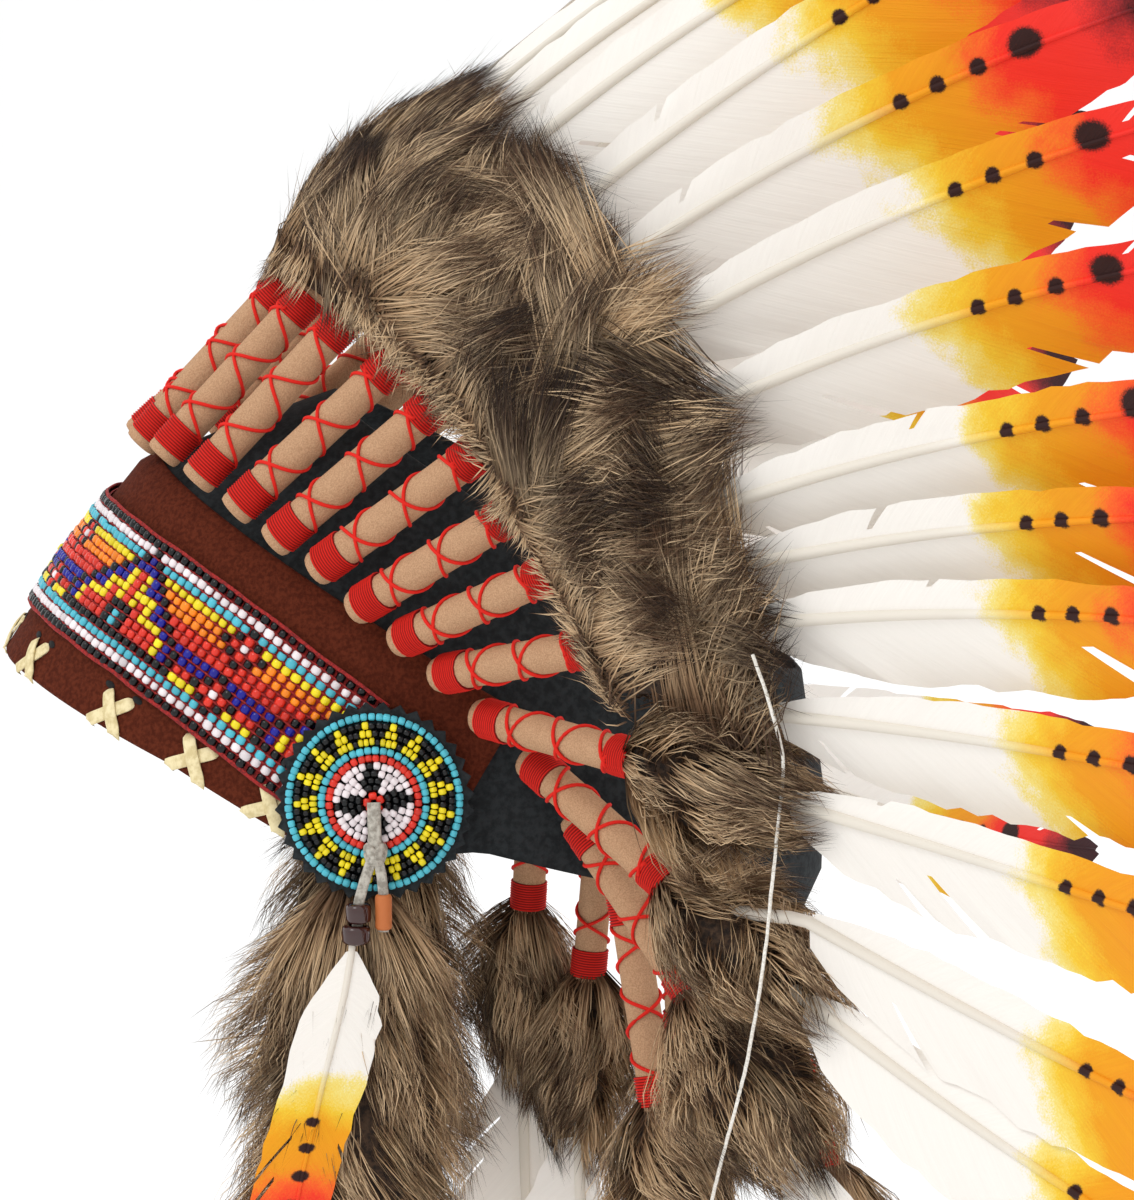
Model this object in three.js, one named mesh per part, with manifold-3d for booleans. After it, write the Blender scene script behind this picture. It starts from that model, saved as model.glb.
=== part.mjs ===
// A feathered headdress: millimetres, +Z up. The wearer faces -Y and +X is the wearer's left.
// The origin is the middle of the head opening. The cap sits back on the head, so the cap, the
// bands, the quills and the fur are modelled on the plane of the band and tilted together.
import * as THREE from 'three';
import { mergeVertices } from 'three/addons/utils/BufferGeometryUtils.js';
import Module from 'manifold-3d';

const wasm = await Module();
wasm.setup();

// ---------- driving dimensions ----------

const tiltDeg = 31; // the band plane slopes down to the nape
const gap = 0.4; // clearance between pieces that lie on each other
const capWall = 2;
const suedeThick = 1.5;
const beadThick = 2;
const ringSteps = 42; // facets round the whole cap
const suedeTop = 23; // upper edge of the suede
const suedeHem = 0.6; // how far the suede reaches below the cap
const suedeSteps = 11; // how far round the suede reaches, in facets each side
const beadHalfHeight = 17.4;
const beadSteps = 9.2; // how far round the bead band reaches, in facets each side
const wrapRadius = 4.6;
const wrapLength = 58;
const shaftRadius = 1.7;
const crownLast = 9; // the last quill each side that the crown fur covers

// Outer surface of the cap, from its lower edge to its open crown
const capProfile = [
  { level: -46, halfLength: 109.1, halfWidth: 75.1 },
  { level: -13, halfLength: 107.8, halfWidth: 73.8 },
  { level: 18, halfLength: 103.6, halfWidth: 70.2 },
  { level: 26, halfLength: 99, halfWidth: 66.5 },
  { level: 34, halfLength: 93, halfWidth: 61.5 },
  { level: 47, halfLength: 82.5, halfWidth: 53.5 },
  { level: 60, halfLength: 72, halfWidth: 46 },
];

// Lower edge of the cap: level on the forehead, then up behind the ear
const rimLine = [
  { back: -112, level: -42.4 },
  { back: -100, level: -39.6 },
  { back: -60, level: -34 },
  { back: -23, level: -32.6 },
  { back: 0, level: -24 },
  { back: 18, level: -12 },
  { back: 49, level: -4 },
  { back: 112, level: 1.5 },
];

// Middle line of the bead band, in degrees round from the front: it rises towards the temples
const beadLine = [
  { angle: 0, level: -10.6 },
  { angle: 20, level: -8.4 },
  { angle: 42, level: -6.5 },
  { angle: 57, level: -6.6 },
  { angle: 80, level: -9.2 },
];

// The line that the quills stand on
const quillLine = { halfLength: 109.5, halfWidth: 78.6 };

// Quills from the centre front towards the nape. along is the distance round from the front,
// level the height of the foot, rise the slope from the band plane at the wrap and at the tip,
// flare the slope outwards at the wrap and at the tip, twist the turn of the vane on its shaft.
const quillRows = [
  { along: 0, level: 23.2, rise: 74, tipRise: 56, flare: 0, tipFlare: -1, twist: 0, length: 278 },
  { along: 14, level: 24, rise: 78, tipRise: 56, flare: -1, tipFlare: 6, twist: 22, length: 278 },
  { along: 31, level: 26.5, rise: 78, tipRise: 53, flare: -3, tipFlare: 10, twist: 24, length: 278 },
  { along: 49, level: 27.5, rise: 78, tipRise: 52, flare: -2, tipFlare: 14, twist: 24, length: 278 },
  { along: 65, level: 27.5, rise: 74, tipRise: 58, flare: 1, tipFlare: 17, twist: 24, length: 278 },
  { along: 79.5, level: 27, rise: 72, tipRise: 49, flare: 8, tipFlare: 21, twist: 24, length: 278 },
  { along: 93.5, level: 27.5, rise: 69, tipRise: 47, flare: 19, tipFlare: 29, twist: 24, length: 278 },
  { along: 107.5, level: 25, rise: 66, tipRise: 43, flare: 28, tipFlare: 36, twist: 22, length: 278 },
  { along: 121, level: 24, rise: 61, tipRise: 41, flare: 36, tipFlare: 43, twist: 20, length: 278 },
  { along: 134, level: 22, rise: 50, tipRise: 32, flare: 42, tipFlare: 49, twist: 18, length: 278 },
  { along: 148, level: 18.5, rise: 26, tipRise: 24, flare: 46, tipFlare: 52, twist: 14, length: 278 },
  { along: 164, level: 15.5, rise: -4, tipRise: 14, flare: 41, tipFlare: 46, twist: 12, length: 278 },
  { along: 182, level: 8.5, rise: -23, tipRise: -27, flare: 27, tipFlare: 32, twist: 10, length: 266 },
  { along: 203, level: -1, rise: -50, tipRise: -38, flare: 12, tipFlare: 10, twist: 10, length: 262 },
  { along: 262, level: -6, rise: -43, tipRise: -35, flare: 6, tipFlare: 6, twist: 10, length: 256 },
];

// On the wearer's right the last quills hang straight down
const droopRows = [
  { along: 174, level: 2, rise: -62, tipRise: -50, flare: 5, tipFlare: 14, twist: 10, length: 262 },
  { along: 200, level: -3, rise: -64, tipRise: -44, flare: 1, tipFlare: 3, twist: 10, length: 262 },
  { along: 226, level: -6, rise: -56, tipRise: -38, flare: 0, tipFlare: -2, twist: 10, length: 256 },
];
const firstDroop = 12;

// Wraps that hold a second feather: on which quill, and at which place between the quills it lies
const secondFeathers = [
  { quill: 8, place: 8.5 },
  { quill: 9, place: 9.5 },
  { quill: 11, place: 10.6 },
];

// Sections of a quill: the felt wrap, the bare shaft, then the vane with its narrow leading web
// and wide trailing web. edge and height are the half thickness of the web and of the shaft.
const quillSections = [
  roundSection(0, wrapRadius),
  roundSection(wrapLength, wrapRadius),
  roundSection(wrapLength + 3, shaftRadius),
  roundSection(112, shaftRadius),
  { along: 124, lead: 5.5, trail: 12.5, edge: 0.5, height: 1.4 },
  { along: 152, lead: 8, trail: 19.5, edge: 0.5, height: 1.2 },
  { along: 205, lead: 8.2, trail: 21, edge: 0.5, height: 1.1 },
  { along: 246, lead: 6.8, trail: 16.5, edge: 0.5, height: 1 },
  { along: 268, lead: 4, trail: 8.5, edge: 0.4, height: 0.8 },
  { along: 278, lead: 1, trail: 1.4, edge: 0.3, height: 0.5 },
];
const vaneCup = 0.1; // how far the webs curl inwards for each millimetre of their width

// Outline of the crown fur across a quill: distance up the quill and outwards from it. It lies
// on the outer side of the wraps and of the bare shafts.
const ruffOutline = [
  { along: 57, out: 5.8 },
  { along: 59.5, out: 8.5 },
  { along: 71, out: 17 },
  { along: 94, out: 17 },
  { along: 119, out: 9 },
  { along: 110, out: 3 },
  { along: 67, out: 2.8 },
  { along: 61, out: 5.8 },
];

// Radii of a separate tuft along its quill
const tuftOutline = [
  { along: 54, radius: 6.5 },
  { along: 59, radius: 11 },
  { along: 74, radius: 16.5 },
  { along: 90, radius: 17 },
  { along: 102, radius: 12 },
  { along: 108, radius: 5 },
];

// ---------- tables, the ring and its frames ----------

function mix(a, b, t) {
  return a + (b - a) * t;
}

// A row of a table at any value of its key column, linear between the rows
function rowAt(table, key, value) {
  const last = table.length - 1;
  let i = table.findIndex((row) => row[key] > value) - 1;
  if (i === -2) i = last - 1;
  i = Math.min(Math.max(i, 0), last - 1);
  const span = table[i + 1][key] - table[i][key];
  const t = THREE.MathUtils.clamp((value - table[i][key]) / span, 0, 1);
  const row = {};
  for (const name of Object.keys(table[i])) row[name] = mix(table[i][name], table[i + 1][name], t);
  return row;
}

function roundSection(along, radius) {
  const wide = radius * Math.cos(Math.PI / 6);
  return { along, lead: wide, trail: wide, edge: radius / 2, height: radius };
}

// A point round an ellipse: angle 0 is the centre front and +90 degrees the wearer's left
function ellipsePoint(size, angle, level, out) {
  const normal = ellipseNormal(size, angle);
  return new THREE.Vector3(size.halfWidth * Math.sin(angle), -size.halfLength * Math.cos(angle), level)
    .addScaledVector(normal, out);
}

function ellipseNormal(size, angle) {
  return new THREE.Vector3(Math.sin(angle) / size.halfWidth, -Math.cos(angle) / size.halfLength, 0)
    .normalize();
}

function capPoint(angle, level, out) {
  return ellipsePoint(rowAt(capProfile, 'level', level), angle, level, out);
}

function rimLevel(angle) {
  return rowAt(rimLine, 'back', -quillLine.halfLength * Math.cos(angle)).level;
}

// The angle on the quill line at a distance round from the centre front
function angleAtArc(along) {
  const steps = 720;
  let length = 0;
  for (let i = 0; i < steps; i += 1) {
    const from = ellipsePoint(quillLine, (Math.PI * i) / steps, 0, 0);
    const to = ellipsePoint(quillLine, (Math.PI * (i + 1)) / steps, 0, 0);
    const step = from.distanceTo(to);
    if (length + step >= along) return (Math.PI * (i + (along - length) / step)) / steps;
    length += step;
  }
  return Math.PI;
}

// ---------- closed bodies ----------

// A body lofted through sections of equal point count, closed at both ends or joined to itself
function loft(sections, joined = false) {
  const count = sections[0].length;
  const positions = sections.flat().flatMap((point) => [point.x, point.y, point.z]);
  const index = [];
  const spans = joined ? sections.length : sections.length - 1;
  for (let i = 0; i < spans; i += 1) {
    const here = i * count;
    const next = ((i + 1) % sections.length) * count;
    for (let j = 0; j < count; j += 1) {
      const k = (j + 1) % count;
      index.push(here + j, next + j, next + k, here + j, next + k, here + k);
    }
  }
  if (!joined) {
    closeEnd(positions, index, sections[0], 0, false);
    closeEnd(positions, index, sections[sections.length - 1], (sections.length - 1) * count, true);
  }
  return pointOutwards(positions, index);
}

// Fans an end section from its middle point
function closeEnd(positions, index, section, first, flip) {
  const middle = section.reduce((sum, point) => sum.add(point), new THREE.Vector3());
  middle.divideScalar(section.length);
  const centre = positions.length / 3;
  positions.push(middle.x, middle.y, middle.z);
  section.forEach((point, j) => {
    const k = (j + 1) % section.length;
    if (flip) index.push(centre, first + k, first + j);
    else index.push(centre, first + j, first + k);
  });
}

// Builds the geometry and turns its faces outwards if the body came out inside out
function pointOutwards(positions, index) {
  const corner = (i) => new THREE.Vector3().fromArray(positions, index[i] * 3);
  let volume = 0;
  for (let i = 0; i < index.length; i += 3) volume += corner(i).dot(corner(i + 1).cross(corner(i + 2)));
  if (volume < 0) {
    for (let i = 0; i < index.length; i += 3) [index[i + 1], index[i + 2]] = [index[i + 2], index[i + 1]];
  }
  const geometry = new THREE.BufferGeometry();
  geometry.setAttribute('position', new THREE.Float32BufferAttribute(positions, 3));
  geometry.setIndex(index);
  geometry.computeVertexNormals();
  return geometry;
}

function mirrored(geometry) {
  const positions = Array.from(geometry.attributes.position.array);
  for (let i = 0; i < positions.length; i += 3) positions[i] = -positions[i];
  return pointOutwards(positions, Array.from(geometry.index.array));
}

function solidOf(geometry) {
  let bare = geometry.clone();
  bare.deleteAttribute('normal');
  bare.deleteAttribute('uv');
  bare = mergeVertices(bare, 1e-4);
  const vertProperties = new Float32Array(bare.attributes.position.array);
  const triVerts = new Uint32Array(bare.index.array);
  return new wasm.Manifold(new wasm.Mesh({ numProp: 3, vertProperties, triVerts }));
}

function geometryOf(solid) {
  const mesh = solid.getMesh();
  const geometry = new THREE.BufferGeometry();
  geometry.setAttribute('position', new THREE.BufferAttribute(new Float32Array(mesh.vertProperties), 3));
  geometry.setIndex(Array.from(mesh.triVerts));
  geometry.computeVertexNormals();
  return geometry;
}

function joined(geometries) {
  return geometryOf(geometries.map(solidOf).reduce((all, one) => all.add(one)));
}

function cut(geometry, tools) {
  return geometryOf(tools.map(solidOf).reduce((left, tool) => left.subtract(tool), solidOf(geometry)));
}

// A flat strip along a curve, with one face towards the given direction
function strap(points, width, thick, face, steps) {
  const curve = new THREE.CatmullRomCurve3(points);
  const sections = [];
  for (let i = 0; i <= steps; i += 1) {
    const middle = curve.getPointAt(i / steps);
    const side = curve.getTangentAt(i / steps).cross(face).normalize().multiplyScalar(width / 2);
    const normal = face.clone().multiplyScalar(thick / 2);
    sections.push([
      middle.clone().add(side).add(normal),
      middle.clone().sub(side).add(normal),
      middle.clone().sub(side).sub(normal),
      middle.clone().add(side).sub(normal),
    ]);
  }
  return loft(sections);
}

// ---------- the group and its finishes ----------

const headdress = new THREE.Group();
const tilted = new THREE.Group(); // all that is built on the band plane
tilted.rotation.x = -THREE.MathUtils.degToRad(tiltDeg);
headdress.add(tilted);

function finish(color, roughness) {
  return { color, roughness, metalness: 0 };
}

const finishes = {
  darkLeather: finish(0x33383b, 0.85),
  suede: finish(0x4b2314, 0.95),
  beadwork: finish(0x3f9aa8, 0.3),
  thong: finish(0xaaa59b, 0.95),
  ponyBead: finish(0x3c1916, 0.25),
  tubeBead: finish(0xc87837, 0.35),
  quill: finish(0xe8e2d6, 0.6),
  fur: finish(0x8c7457, 0.95),
};

function addPiece(parent, name, geometry, look) {
  const piece = new THREE.Mesh(geometry, new THREE.MeshStandardMaterial(look));
  piece.name = name;
  parent.add(piece);
  return piece;
}

// ---------- cap and bands ----------

function ringAngle(step) {
  return (2 * Math.PI * step) / ringSteps;
}

function capGeometry() {
  const sections = [];
  for (let i = 0; i < ringSteps; i += 1) {
    const angle = ringAngle(i);
    const rim = rimLevel(angle);
    const crown = capProfile.slice(2).map((row) => row.level);
    const outerLevels = [rim, mix(rim, crown[0], 0.5), ...crown];
    const innerLevels = [crown[4], crown[2], crown[0], rim];
    sections.push([
      ...outerLevels.map((level) => capPoint(angle, level, 0)),
      ...innerLevels.map((level) => capPoint(angle, level, -capWall)),
    ]);
  }
  return loft(sections, true);
}

// A skin on the cap between two edges, over a number of facets each side of the front
function skin(reach, levelsAt, inner, thick) {
  const sections = [];
  for (let step = -Math.ceil(reach); step <= Math.ceil(reach); step += 1) {
    const angle = ringAngle(THREE.MathUtils.clamp(step, -reach, reach));
    const levels = levelsAt(angle);
    sections.push([
      ...levels.map((level) => capPoint(angle, level, inner + thick)),
      ...levels.toReversed().map((level) => capPoint(angle, level, inner)),
    ]);
  }
  return loft(sections);
}

function suedeLevels(angle) {
  const low = rimLevel(angle) - suedeHem;
  const turn = capProfile[2].level;
  return [low, mix(low, turn, 0.5), turn, suedeTop];
}

function beadLevels(angle) {
  const { level } = rowAt(beadLine, 'angle', Math.abs(THREE.MathUtils.radToDeg(angle)));
  return [level - beadHalfHeight, level, level + beadHalfHeight];
}

const suedeInner = gap + 0.2;
const beadInner = suedeInner + suedeThick + gap;
addPiece(tilted, 'cap', capGeometry(), finishes.darkLeather);
addPiece(tilted, 'brow_band', skin(suedeSteps, suedeLevels, suedeInner, suedeThick), finishes.suede);
addPiece(tilted, 'bead_band', skin(beadSteps, beadLevels, beadInner, beadThick), finishes.beadwork);

// The strap over the back of the cap, with a slot for its tie
const backStrap = { low: 30, high: 53, steps: 4, slotStep: 2.3, slotHalf: 1.4, slotLow: 35, slotHigh: 49 };

function backStrapGeometry() {
  const middleStep = ringSteps / 2;
  const levels = [backStrap.low, capProfile[4].level, capProfile[5].level, backStrap.high];
  const sections = [];
  for (let step = -backStrap.steps; step <= backStrap.steps; step += 1) {
    const angle = ringAngle(middleStep - step);
    sections.push([
      ...levels.map((level) => capPoint(angle, level, suedeInner + suedeThick)),
      ...levels.toReversed().map((level) => capPoint(angle, level, suedeInner)),
    ]);
  }
  const slotAngle = ringAngle(middleStep - backStrap.slotStep);
  const across = new THREE.Vector3(Math.cos(slotAngle), Math.sin(slotAngle), 0)
    .multiplyScalar(backStrap.slotHalf);
  const slot = [backStrap.slotLow, backStrap.slotHigh].map((level) => {
    const inside = capPoint(slotAngle, level, suedeInner - suedeThick);
    const outside = capPoint(slotAngle, level, suedeInner + 2 * suedeThick);
    const middles = [inside, inside, outside, outside];
    return [1, -1, -1, 1].map((side, i) => middles[i].clone().addScaledVector(across, side));
  });
  return cut(loft(sections), [loft(slot)]);
}

addPiece(tilted, 'back_strap', backStrapGeometry(), finishes.darkLeather);

// ---------- rosettes and what hangs from them ----------

const rosette = { angle: 83.8, level: -13.4, lean: 0.08, backing: 25, teeth: 32, tooth: 1.3 };
const backingThick = 1.4;
const rosetteOut = beadInner + beadThick + 0.9;

function rosetteGroup(sign) {
  const angle = THREE.MathUtils.degToRad(rosette.angle);
  const size = rowAt(capProfile, 'level', rosette.level);
  const normal = ellipseNormal(size, angle).setZ(rosette.lean).normalize();
  const place = new THREE.Group();
  place.position.copy(ellipsePoint(size, angle, rosette.level, rosetteOut));
  place.position.x *= sign;
  normal.x *= sign;
  place.quaternion.setFromUnitVectors(new THREE.Vector3(0, 0, 1), normal);
  tilted.add(place);
  return place;
}

function backingGeometry() {
  const shape = new THREE.Shape();
  for (let i = 0; i < rosette.teeth * 2; i += 1) {
    const angle = (Math.PI * i) / rosette.teeth;
    const radius = rosette.backing - (i % 2) * rosette.tooth;
    const point = [radius * Math.cos(angle), radius * Math.sin(angle)];
    if (i === 0) shape.moveTo(...point);
    else shape.lineTo(...point);
  }
  shape.closePath();
  return new THREE.ExtrudeGeometry(shape, { depth: backingThick, bevelEnabled: false });
}

// Half profile of the beaded disc, which swells a little towards its middle
const discProfile = [
  { radius: 0, height: 0 },
  { radius: 22.4, height: 0 },
  { radius: 22.4, height: 1.2 },
  { radius: 18, height: 1.9 },
  { radius: 8, height: 2.4 },
  { radius: 0, height: 2.5 },
];

function beadDiscGeometry() {
  const base = backingThick + gap;
  const profile = discProfile.map(({ radius, height }) => new THREE.Vector2(radius, base + height));
  return new THREE.LatheGeometry(profile, 22).rotateX(Math.PI / 2);
}

// What hangs from a rosette is placed from its centre, in the upright frame: out from the wearer,
// back and down. The thong is knotted once and has two tails.
const topRoute = [at(6.6, 0, -1), at(8, 0.2, 5), at(9.2, 0.4, 11.5)];
const foreRoute = [at(9.2, 0, 11.5), at(10, -2.2, 18), at(10.2, -3.7, 23.4), at(10.2, -4.1, 28.9),
  at(10.2, -4.4, 31.6)];
const rearRoute = [at(9.2, 0.8, 11.5), at(9.8, 2, 17), at(9.8, 2.4, 21.5), at(9.8, 2.4, 30)];
const thongRuns = [
  { route: topRoute, width: 3.4, thick: 1.5, steps: 3 },
  { route: foreRoute, width: 2, thick: 1.2, steps: 5 },
  { route: rearRoute, width: 2, thick: 1.2, steps: 4 },
];
const knot = { radius: 3.4, place: at(9.2, 0.4, 11.5) };
const { ponyBead, tubeBead } = finishes;
const hangingBeads = [
  { name: 'pony_bead_upper', place: at(10.2, -3.8, 26.2), radius: 3.2, length: 5, look: ponyBead },
  { name: 'pony_bead_lower', place: at(10.2, -4.4, 31.6), radius: 3.6, length: 4.8, look: ponyBead },
  { name: 'tube_bead', place: at(9.8, 2.4, 26), radius: 2.1, length: 9, look: tubeBead },
];
const beadBore = 1.55;

function at(out, back, drop) {
  return new THREE.Vector3(out, back, -drop);
}

function thongGeometry() {
  const face = new THREE.Vector3(1, 0, 0);
  const runs = thongRuns.map(({ route, width, thick, steps }) => strap(route, width, thick, face, steps));
  const lump = new THREE.IcosahedronGeometry(knot.radius, 0).scale(0.75, 1, 0.9);
  return joined([...runs, indexed(lump.translate(knot.place.x, knot.place.y, knot.place.z))]);
}

function indexed(geometry) {
  const bare = geometry.clone();
  bare.deleteAttribute('normal');
  bare.deleteAttribute('uv');
  return mergeVertices(bare, 1e-4);
}

function beadGeometry({ radius, length }) {
  const half = length / 2;
  const round = Math.min(radius - beadBore - 0.2, half * 0.5);
  const profile = [
    [beadBore, -half],
    [radius - round * 0.6, -half],
    [radius, -half + round],
    [radius, half - round],
    [radius - round * 0.6, half],
    [beadBore, half],
    [beadBore, -half],
  ].map(([across, height]) => new THREE.Vector2(across, height));
  return new THREE.LatheGeometry(profile, 8).rotateX(Math.PI / 2);
}

// Sections of the small hanging feather, from its quill down to its tip
const pendantSections = [
  { drop: 34.6, back: -5.4, lead: 0.9, trail: 0.9, edge: 0.4, height: 0.9 },
  { drop: 38, back: -5.8, lead: 3, trail: 3, edge: 0.5, height: 1 },
  { drop: 46, back: -7.2, lead: 8, trail: 9, edge: 0.5, height: 1 },
  { drop: 56, back: -9.5, lead: 10.5, trail: 11, edge: 0.5, height: 0.9 },
  { drop: 72, back: -13.5, lead: 9.5, trail: 10, edge: 0.5, height: 0.8 },
  { drop: 92, back: -18, lead: 12, trail: 9, edge: 0.5, height: 0.7 },
  { drop: 112, back: -22, lead: 10, trail: 7.5, edge: 0.5, height: 0.6 },
  { drop: 122, back: -24, lead: 4, trail: 3.4, edge: 0.4, height: 0.5 },
  { drop: 126, back: -24.8, lead: 0.6, trail: 0.6, edge: 0.3, height: 0.4 },
];
const pendantOut = 10.4;

function pendantGeometry() {
  return loft(pendantSections.map((row) => {
    const spine = Math.min(row.lead, 1) * 0.6;
    const across = [-row.lead, -spine, spine, row.trail, row.trail, spine, -spine, -row.lead];
    const upper = [row.edge, row.height, row.height, row.edge];
    const thick = [...upper, ...upper.map((half) => -half)];
    return across.map((side, i) => at(pendantOut + thick[i], row.back + side, row.drop));
  }));
}

// The fur drop behind the pendant: half sizes across and through, from its leather tab down
const dropSections = [
  { drop: 14, back: -5, across: 5, through: 0.7, out: -1.2 },
  { drop: 24, back: -6, across: 6, through: 0.7, out: -1.2 },
  { drop: 31, back: -6, across: 15, through: 5, out: -3 },
  { drop: 40, back: -6.5, across: 24, through: 9, out: -4 },
  { drop: 62, back: -7, across: 26, through: 11, out: -4 },
  { drop: 88, back: -7, across: 27, through: 11, out: -4 },
  { drop: 114, back: -6, across: 27, through: 11, out: -4 },
  { drop: 138, back: -5, across: 23, through: 9, out: -4 },
  { drop: 154, back: -4, across: 13, through: 6, out: -4 },
  { drop: 163, back: -4, across: 3, through: 2, out: -4 },
];
const dropSides = 12;

function furDropGeometry() {
  return loft(dropSections.map((row, i) => {
    const section = [];
    for (let j = 0; j < dropSides; j += 1) {
      const angle = (2 * Math.PI * j) / dropSides;
      const soft = Math.min(row.across / 24, 1);
      const lock = 1 + 0.12 * soft * Math.sin(3 * angle + 2.1 * i) + 0.1 * soft * ((i + j) % 2);
      const hang = 7 * soft * Math.abs(Math.cos(angle)) * (i > 3 ? 1 : 0);
      section.push(at(row.out + row.through * Math.sin(angle) * lock,
        row.back + row.across * Math.cos(angle) * lock, row.drop + hang));
    }
    return section;
  }));
}

function addHanging(sign) {
  const side = sign > 0 ? 'left' : 'right';
  const place = rosetteGroup(sign);
  addPiece(place, `rosette_backing_${side}`, backingGeometry(), finishes.darkLeather);
  addPiece(place, `rosette_beads_${side}`, beadDiscGeometry(), finishes.beadwork);
  headdress.updateMatrixWorld(true);
  const hung = new THREE.Group();
  place.getWorldPosition(hung.position);
  headdress.add(hung);
  const handed = (geometry) => (sign > 0 ? geometry : mirrored(indexed(geometry)));
  addPiece(hung, `thong_${side}`, handed(thongGeometry()), finishes.thong);
  for (const bead of hangingBeads) {
    const piece = addPiece(hung, `${bead.name}_${side}`, beadGeometry(bead), bead.look);
    piece.position.copy(bead.place).multiply(new THREE.Vector3(sign, 1, 1));
  }
  addPiece(hung, `pendant_feather_${side}`, handed(pendantGeometry()), finishes.quill);
  addPiece(hung, `fur_drop_${side}`, handed(furDropGeometry()), finishes.fur);
}

addHanging(1);
addHanging(-1);

// ---------- quills ----------

function directionAt(row, along) {
  const bend = Math.max(0, (along - wrapLength) / (row.length - wrapLength));
  const rise = THREE.MathUtils.degToRad(mix(row.rise, row.tipRise, bend));
  const flare = THREE.MathUtils.degToRad(mix(row.flare, row.tipFlare, bend));
  const level = new THREE.Vector3(Math.sin(flare), Math.cos(flare) * Math.cos(rise), 0);
  return level.setZ(Math.cos(flare) * Math.sin(rise));
}

// Point and axes of a quill at a distance from its foot: direction, outwards and trailing side
function stationAt(row, along) {
  const angle = angleAtArc(row.along);
  const point = ellipsePoint(quillLine, angle, row.level, 0);
  point.addScaledVector(directionAt(row, 0), Math.min(along, wrapLength));
  const steps = 12;
  const rest = Math.max(0, along - wrapLength);
  for (let i = 0; i < steps; i += 1) {
    point.addScaledVector(directionAt(row, wrapLength + (rest * (i + 0.5)) / steps), rest / steps);
  }
  const direction = directionAt(row, along);
  const out = ellipseNormal(quillLine, angle);
  out.addScaledVector(direction, -out.dot(direction)).normalize();
  const trail = direction.clone().cross(out);
  const twist = THREE.MathUtils.degToRad(row.twist);
  return {
    point,
    out: out.clone().multiplyScalar(Math.cos(twist)).addScaledVector(trail, Math.sin(twist)),
    trail: trail.clone().multiplyScalar(Math.cos(twist)).addScaledVector(out, -Math.sin(twist)),
  };
}

// A row of a side's quills at any place, also between two quills
function quillRowAt(rows, place) {
  return rowAt(rows.map((row, k) => ({ k, ...row })), 'k', place);
}

// A distance along a full-length quill, past the wrap shortened to the quill's own length
function ownAlong(row, along) {
  const last = quillSections[quillSections.length - 1].along;
  const past = Math.max(0, along - wrapLength);
  return Math.min(along, wrapLength) + (past * (row.length - wrapLength)) / (last - wrapLength);
}

function sectionPoints(row, section) {
  const { point, out, trail } = stationAt(row, ownAlong(row, section.along));
  const { lead, trail: rear, edge, height } = section;
  const across = [-lead, 0, rear, rear, 0, -lead];
  const up = [edge, height, edge, -edge, -height, -edge];
  const cup = section.along > wrapLength + 3 ? vaneCup : 0;
  return across.map((side, i) => point.clone().addScaledVector(trail, side)
    .addScaledVector(out, up[i] - cup * Math.max(0, Math.abs(side) - 2)));
}

// A second feather leaves the top of the wrap and lies beside the first
function secondSections(row, beside) {
  const foot = [wrapLength - 8, wrapLength - 1].map((along) => roundSection(along, shaftRadius));
  const feather = [roundSection(104, shaftRadius), ...quillSections.slice(3)];
  return [
    ...foot.map((section) => sectionPoints(row, section)),
    ...feather.map((section) => sectionPoints(beside, section)),
  ];
}

function quillGeometry(rows, k) {
  const first = loft(quillSections.map((section) => sectionPoints(rows[k], section)));
  const second = secondFeathers.find(({ quill }) => quill === k);
  if (!second) return first;
  return joined([first, loft(secondSections(rows[k], quillRowAt(rows, second.place)))]);
}

function rowsOf(sign) {
  return sign > 0 ? quillRows : [...quillRows.slice(0, firstDroop), ...droopRows];
}

function quillName(sign, k) {
  if (k === 0) return 'quill_center';
  return `quill_${sign > 0 ? 'left' : 'right'}_${String(k).padStart(2, '0')}`;
}

for (const sign of [1, -1]) {
  const rows = rowsOf(sign);
  for (let k = sign > 0 ? 0 : 1; k < rows.length; k += 1) {
    const geometry = quillGeometry(rows, k);
    addPiece(tilted, quillName(sign, k), sign > 0 ? geometry : mirrored(geometry), finishes.quill);
  }
}

// ---------- fur ----------

const furGap = 0.45;
const furSeat = 6; // the ruff lies this far from the middle of the wraps

// The room that a tuft leaves round a shaft or wrap, six-sided
function roomRing(row, along, radius) {
  const sides = 6;
  const { point, out, trail } = stationAt(row, ownAlong(row, along));
  const reach = (radius + furGap) / Math.cos(Math.PI / sides);
  return Array.from({ length: sides }, (_, i) => point.clone()
    .addScaledVector(out, reach * Math.cos((2 * Math.PI * i) / sides))
    .addScaledVector(trail, reach * Math.sin((2 * Math.PI * i) / sides)));
}

function quillRoom(row) {
  return loft([
    roomRing(row, 40, wrapRadius),
    roomRing(row, wrapLength + 0.5, wrapRadius),
    roomRing(row, wrapLength + 3.5, shaftRadius),
    roomRing(row, 114, shaftRadius),
  ]);
}

function secondRooms(rows, quills) {
  return secondFeathers.filter(({ quill }) => quills.includes(quill)).map(({ quill, place }) => {
    const beside = quillRowAt(rows, place);
    return loft([
      roomRing(rows[quill], wrapLength - 8, shaftRadius + 0.3),
      roomRing(rows[quill], wrapLength - 1, shaftRadius + 0.3),
      roomRing(beside, 104, shaftRadius + 0.3),
      roomRing(beside, 116, shaftRadius + 0.3),
    ]);
  });
}

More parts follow.
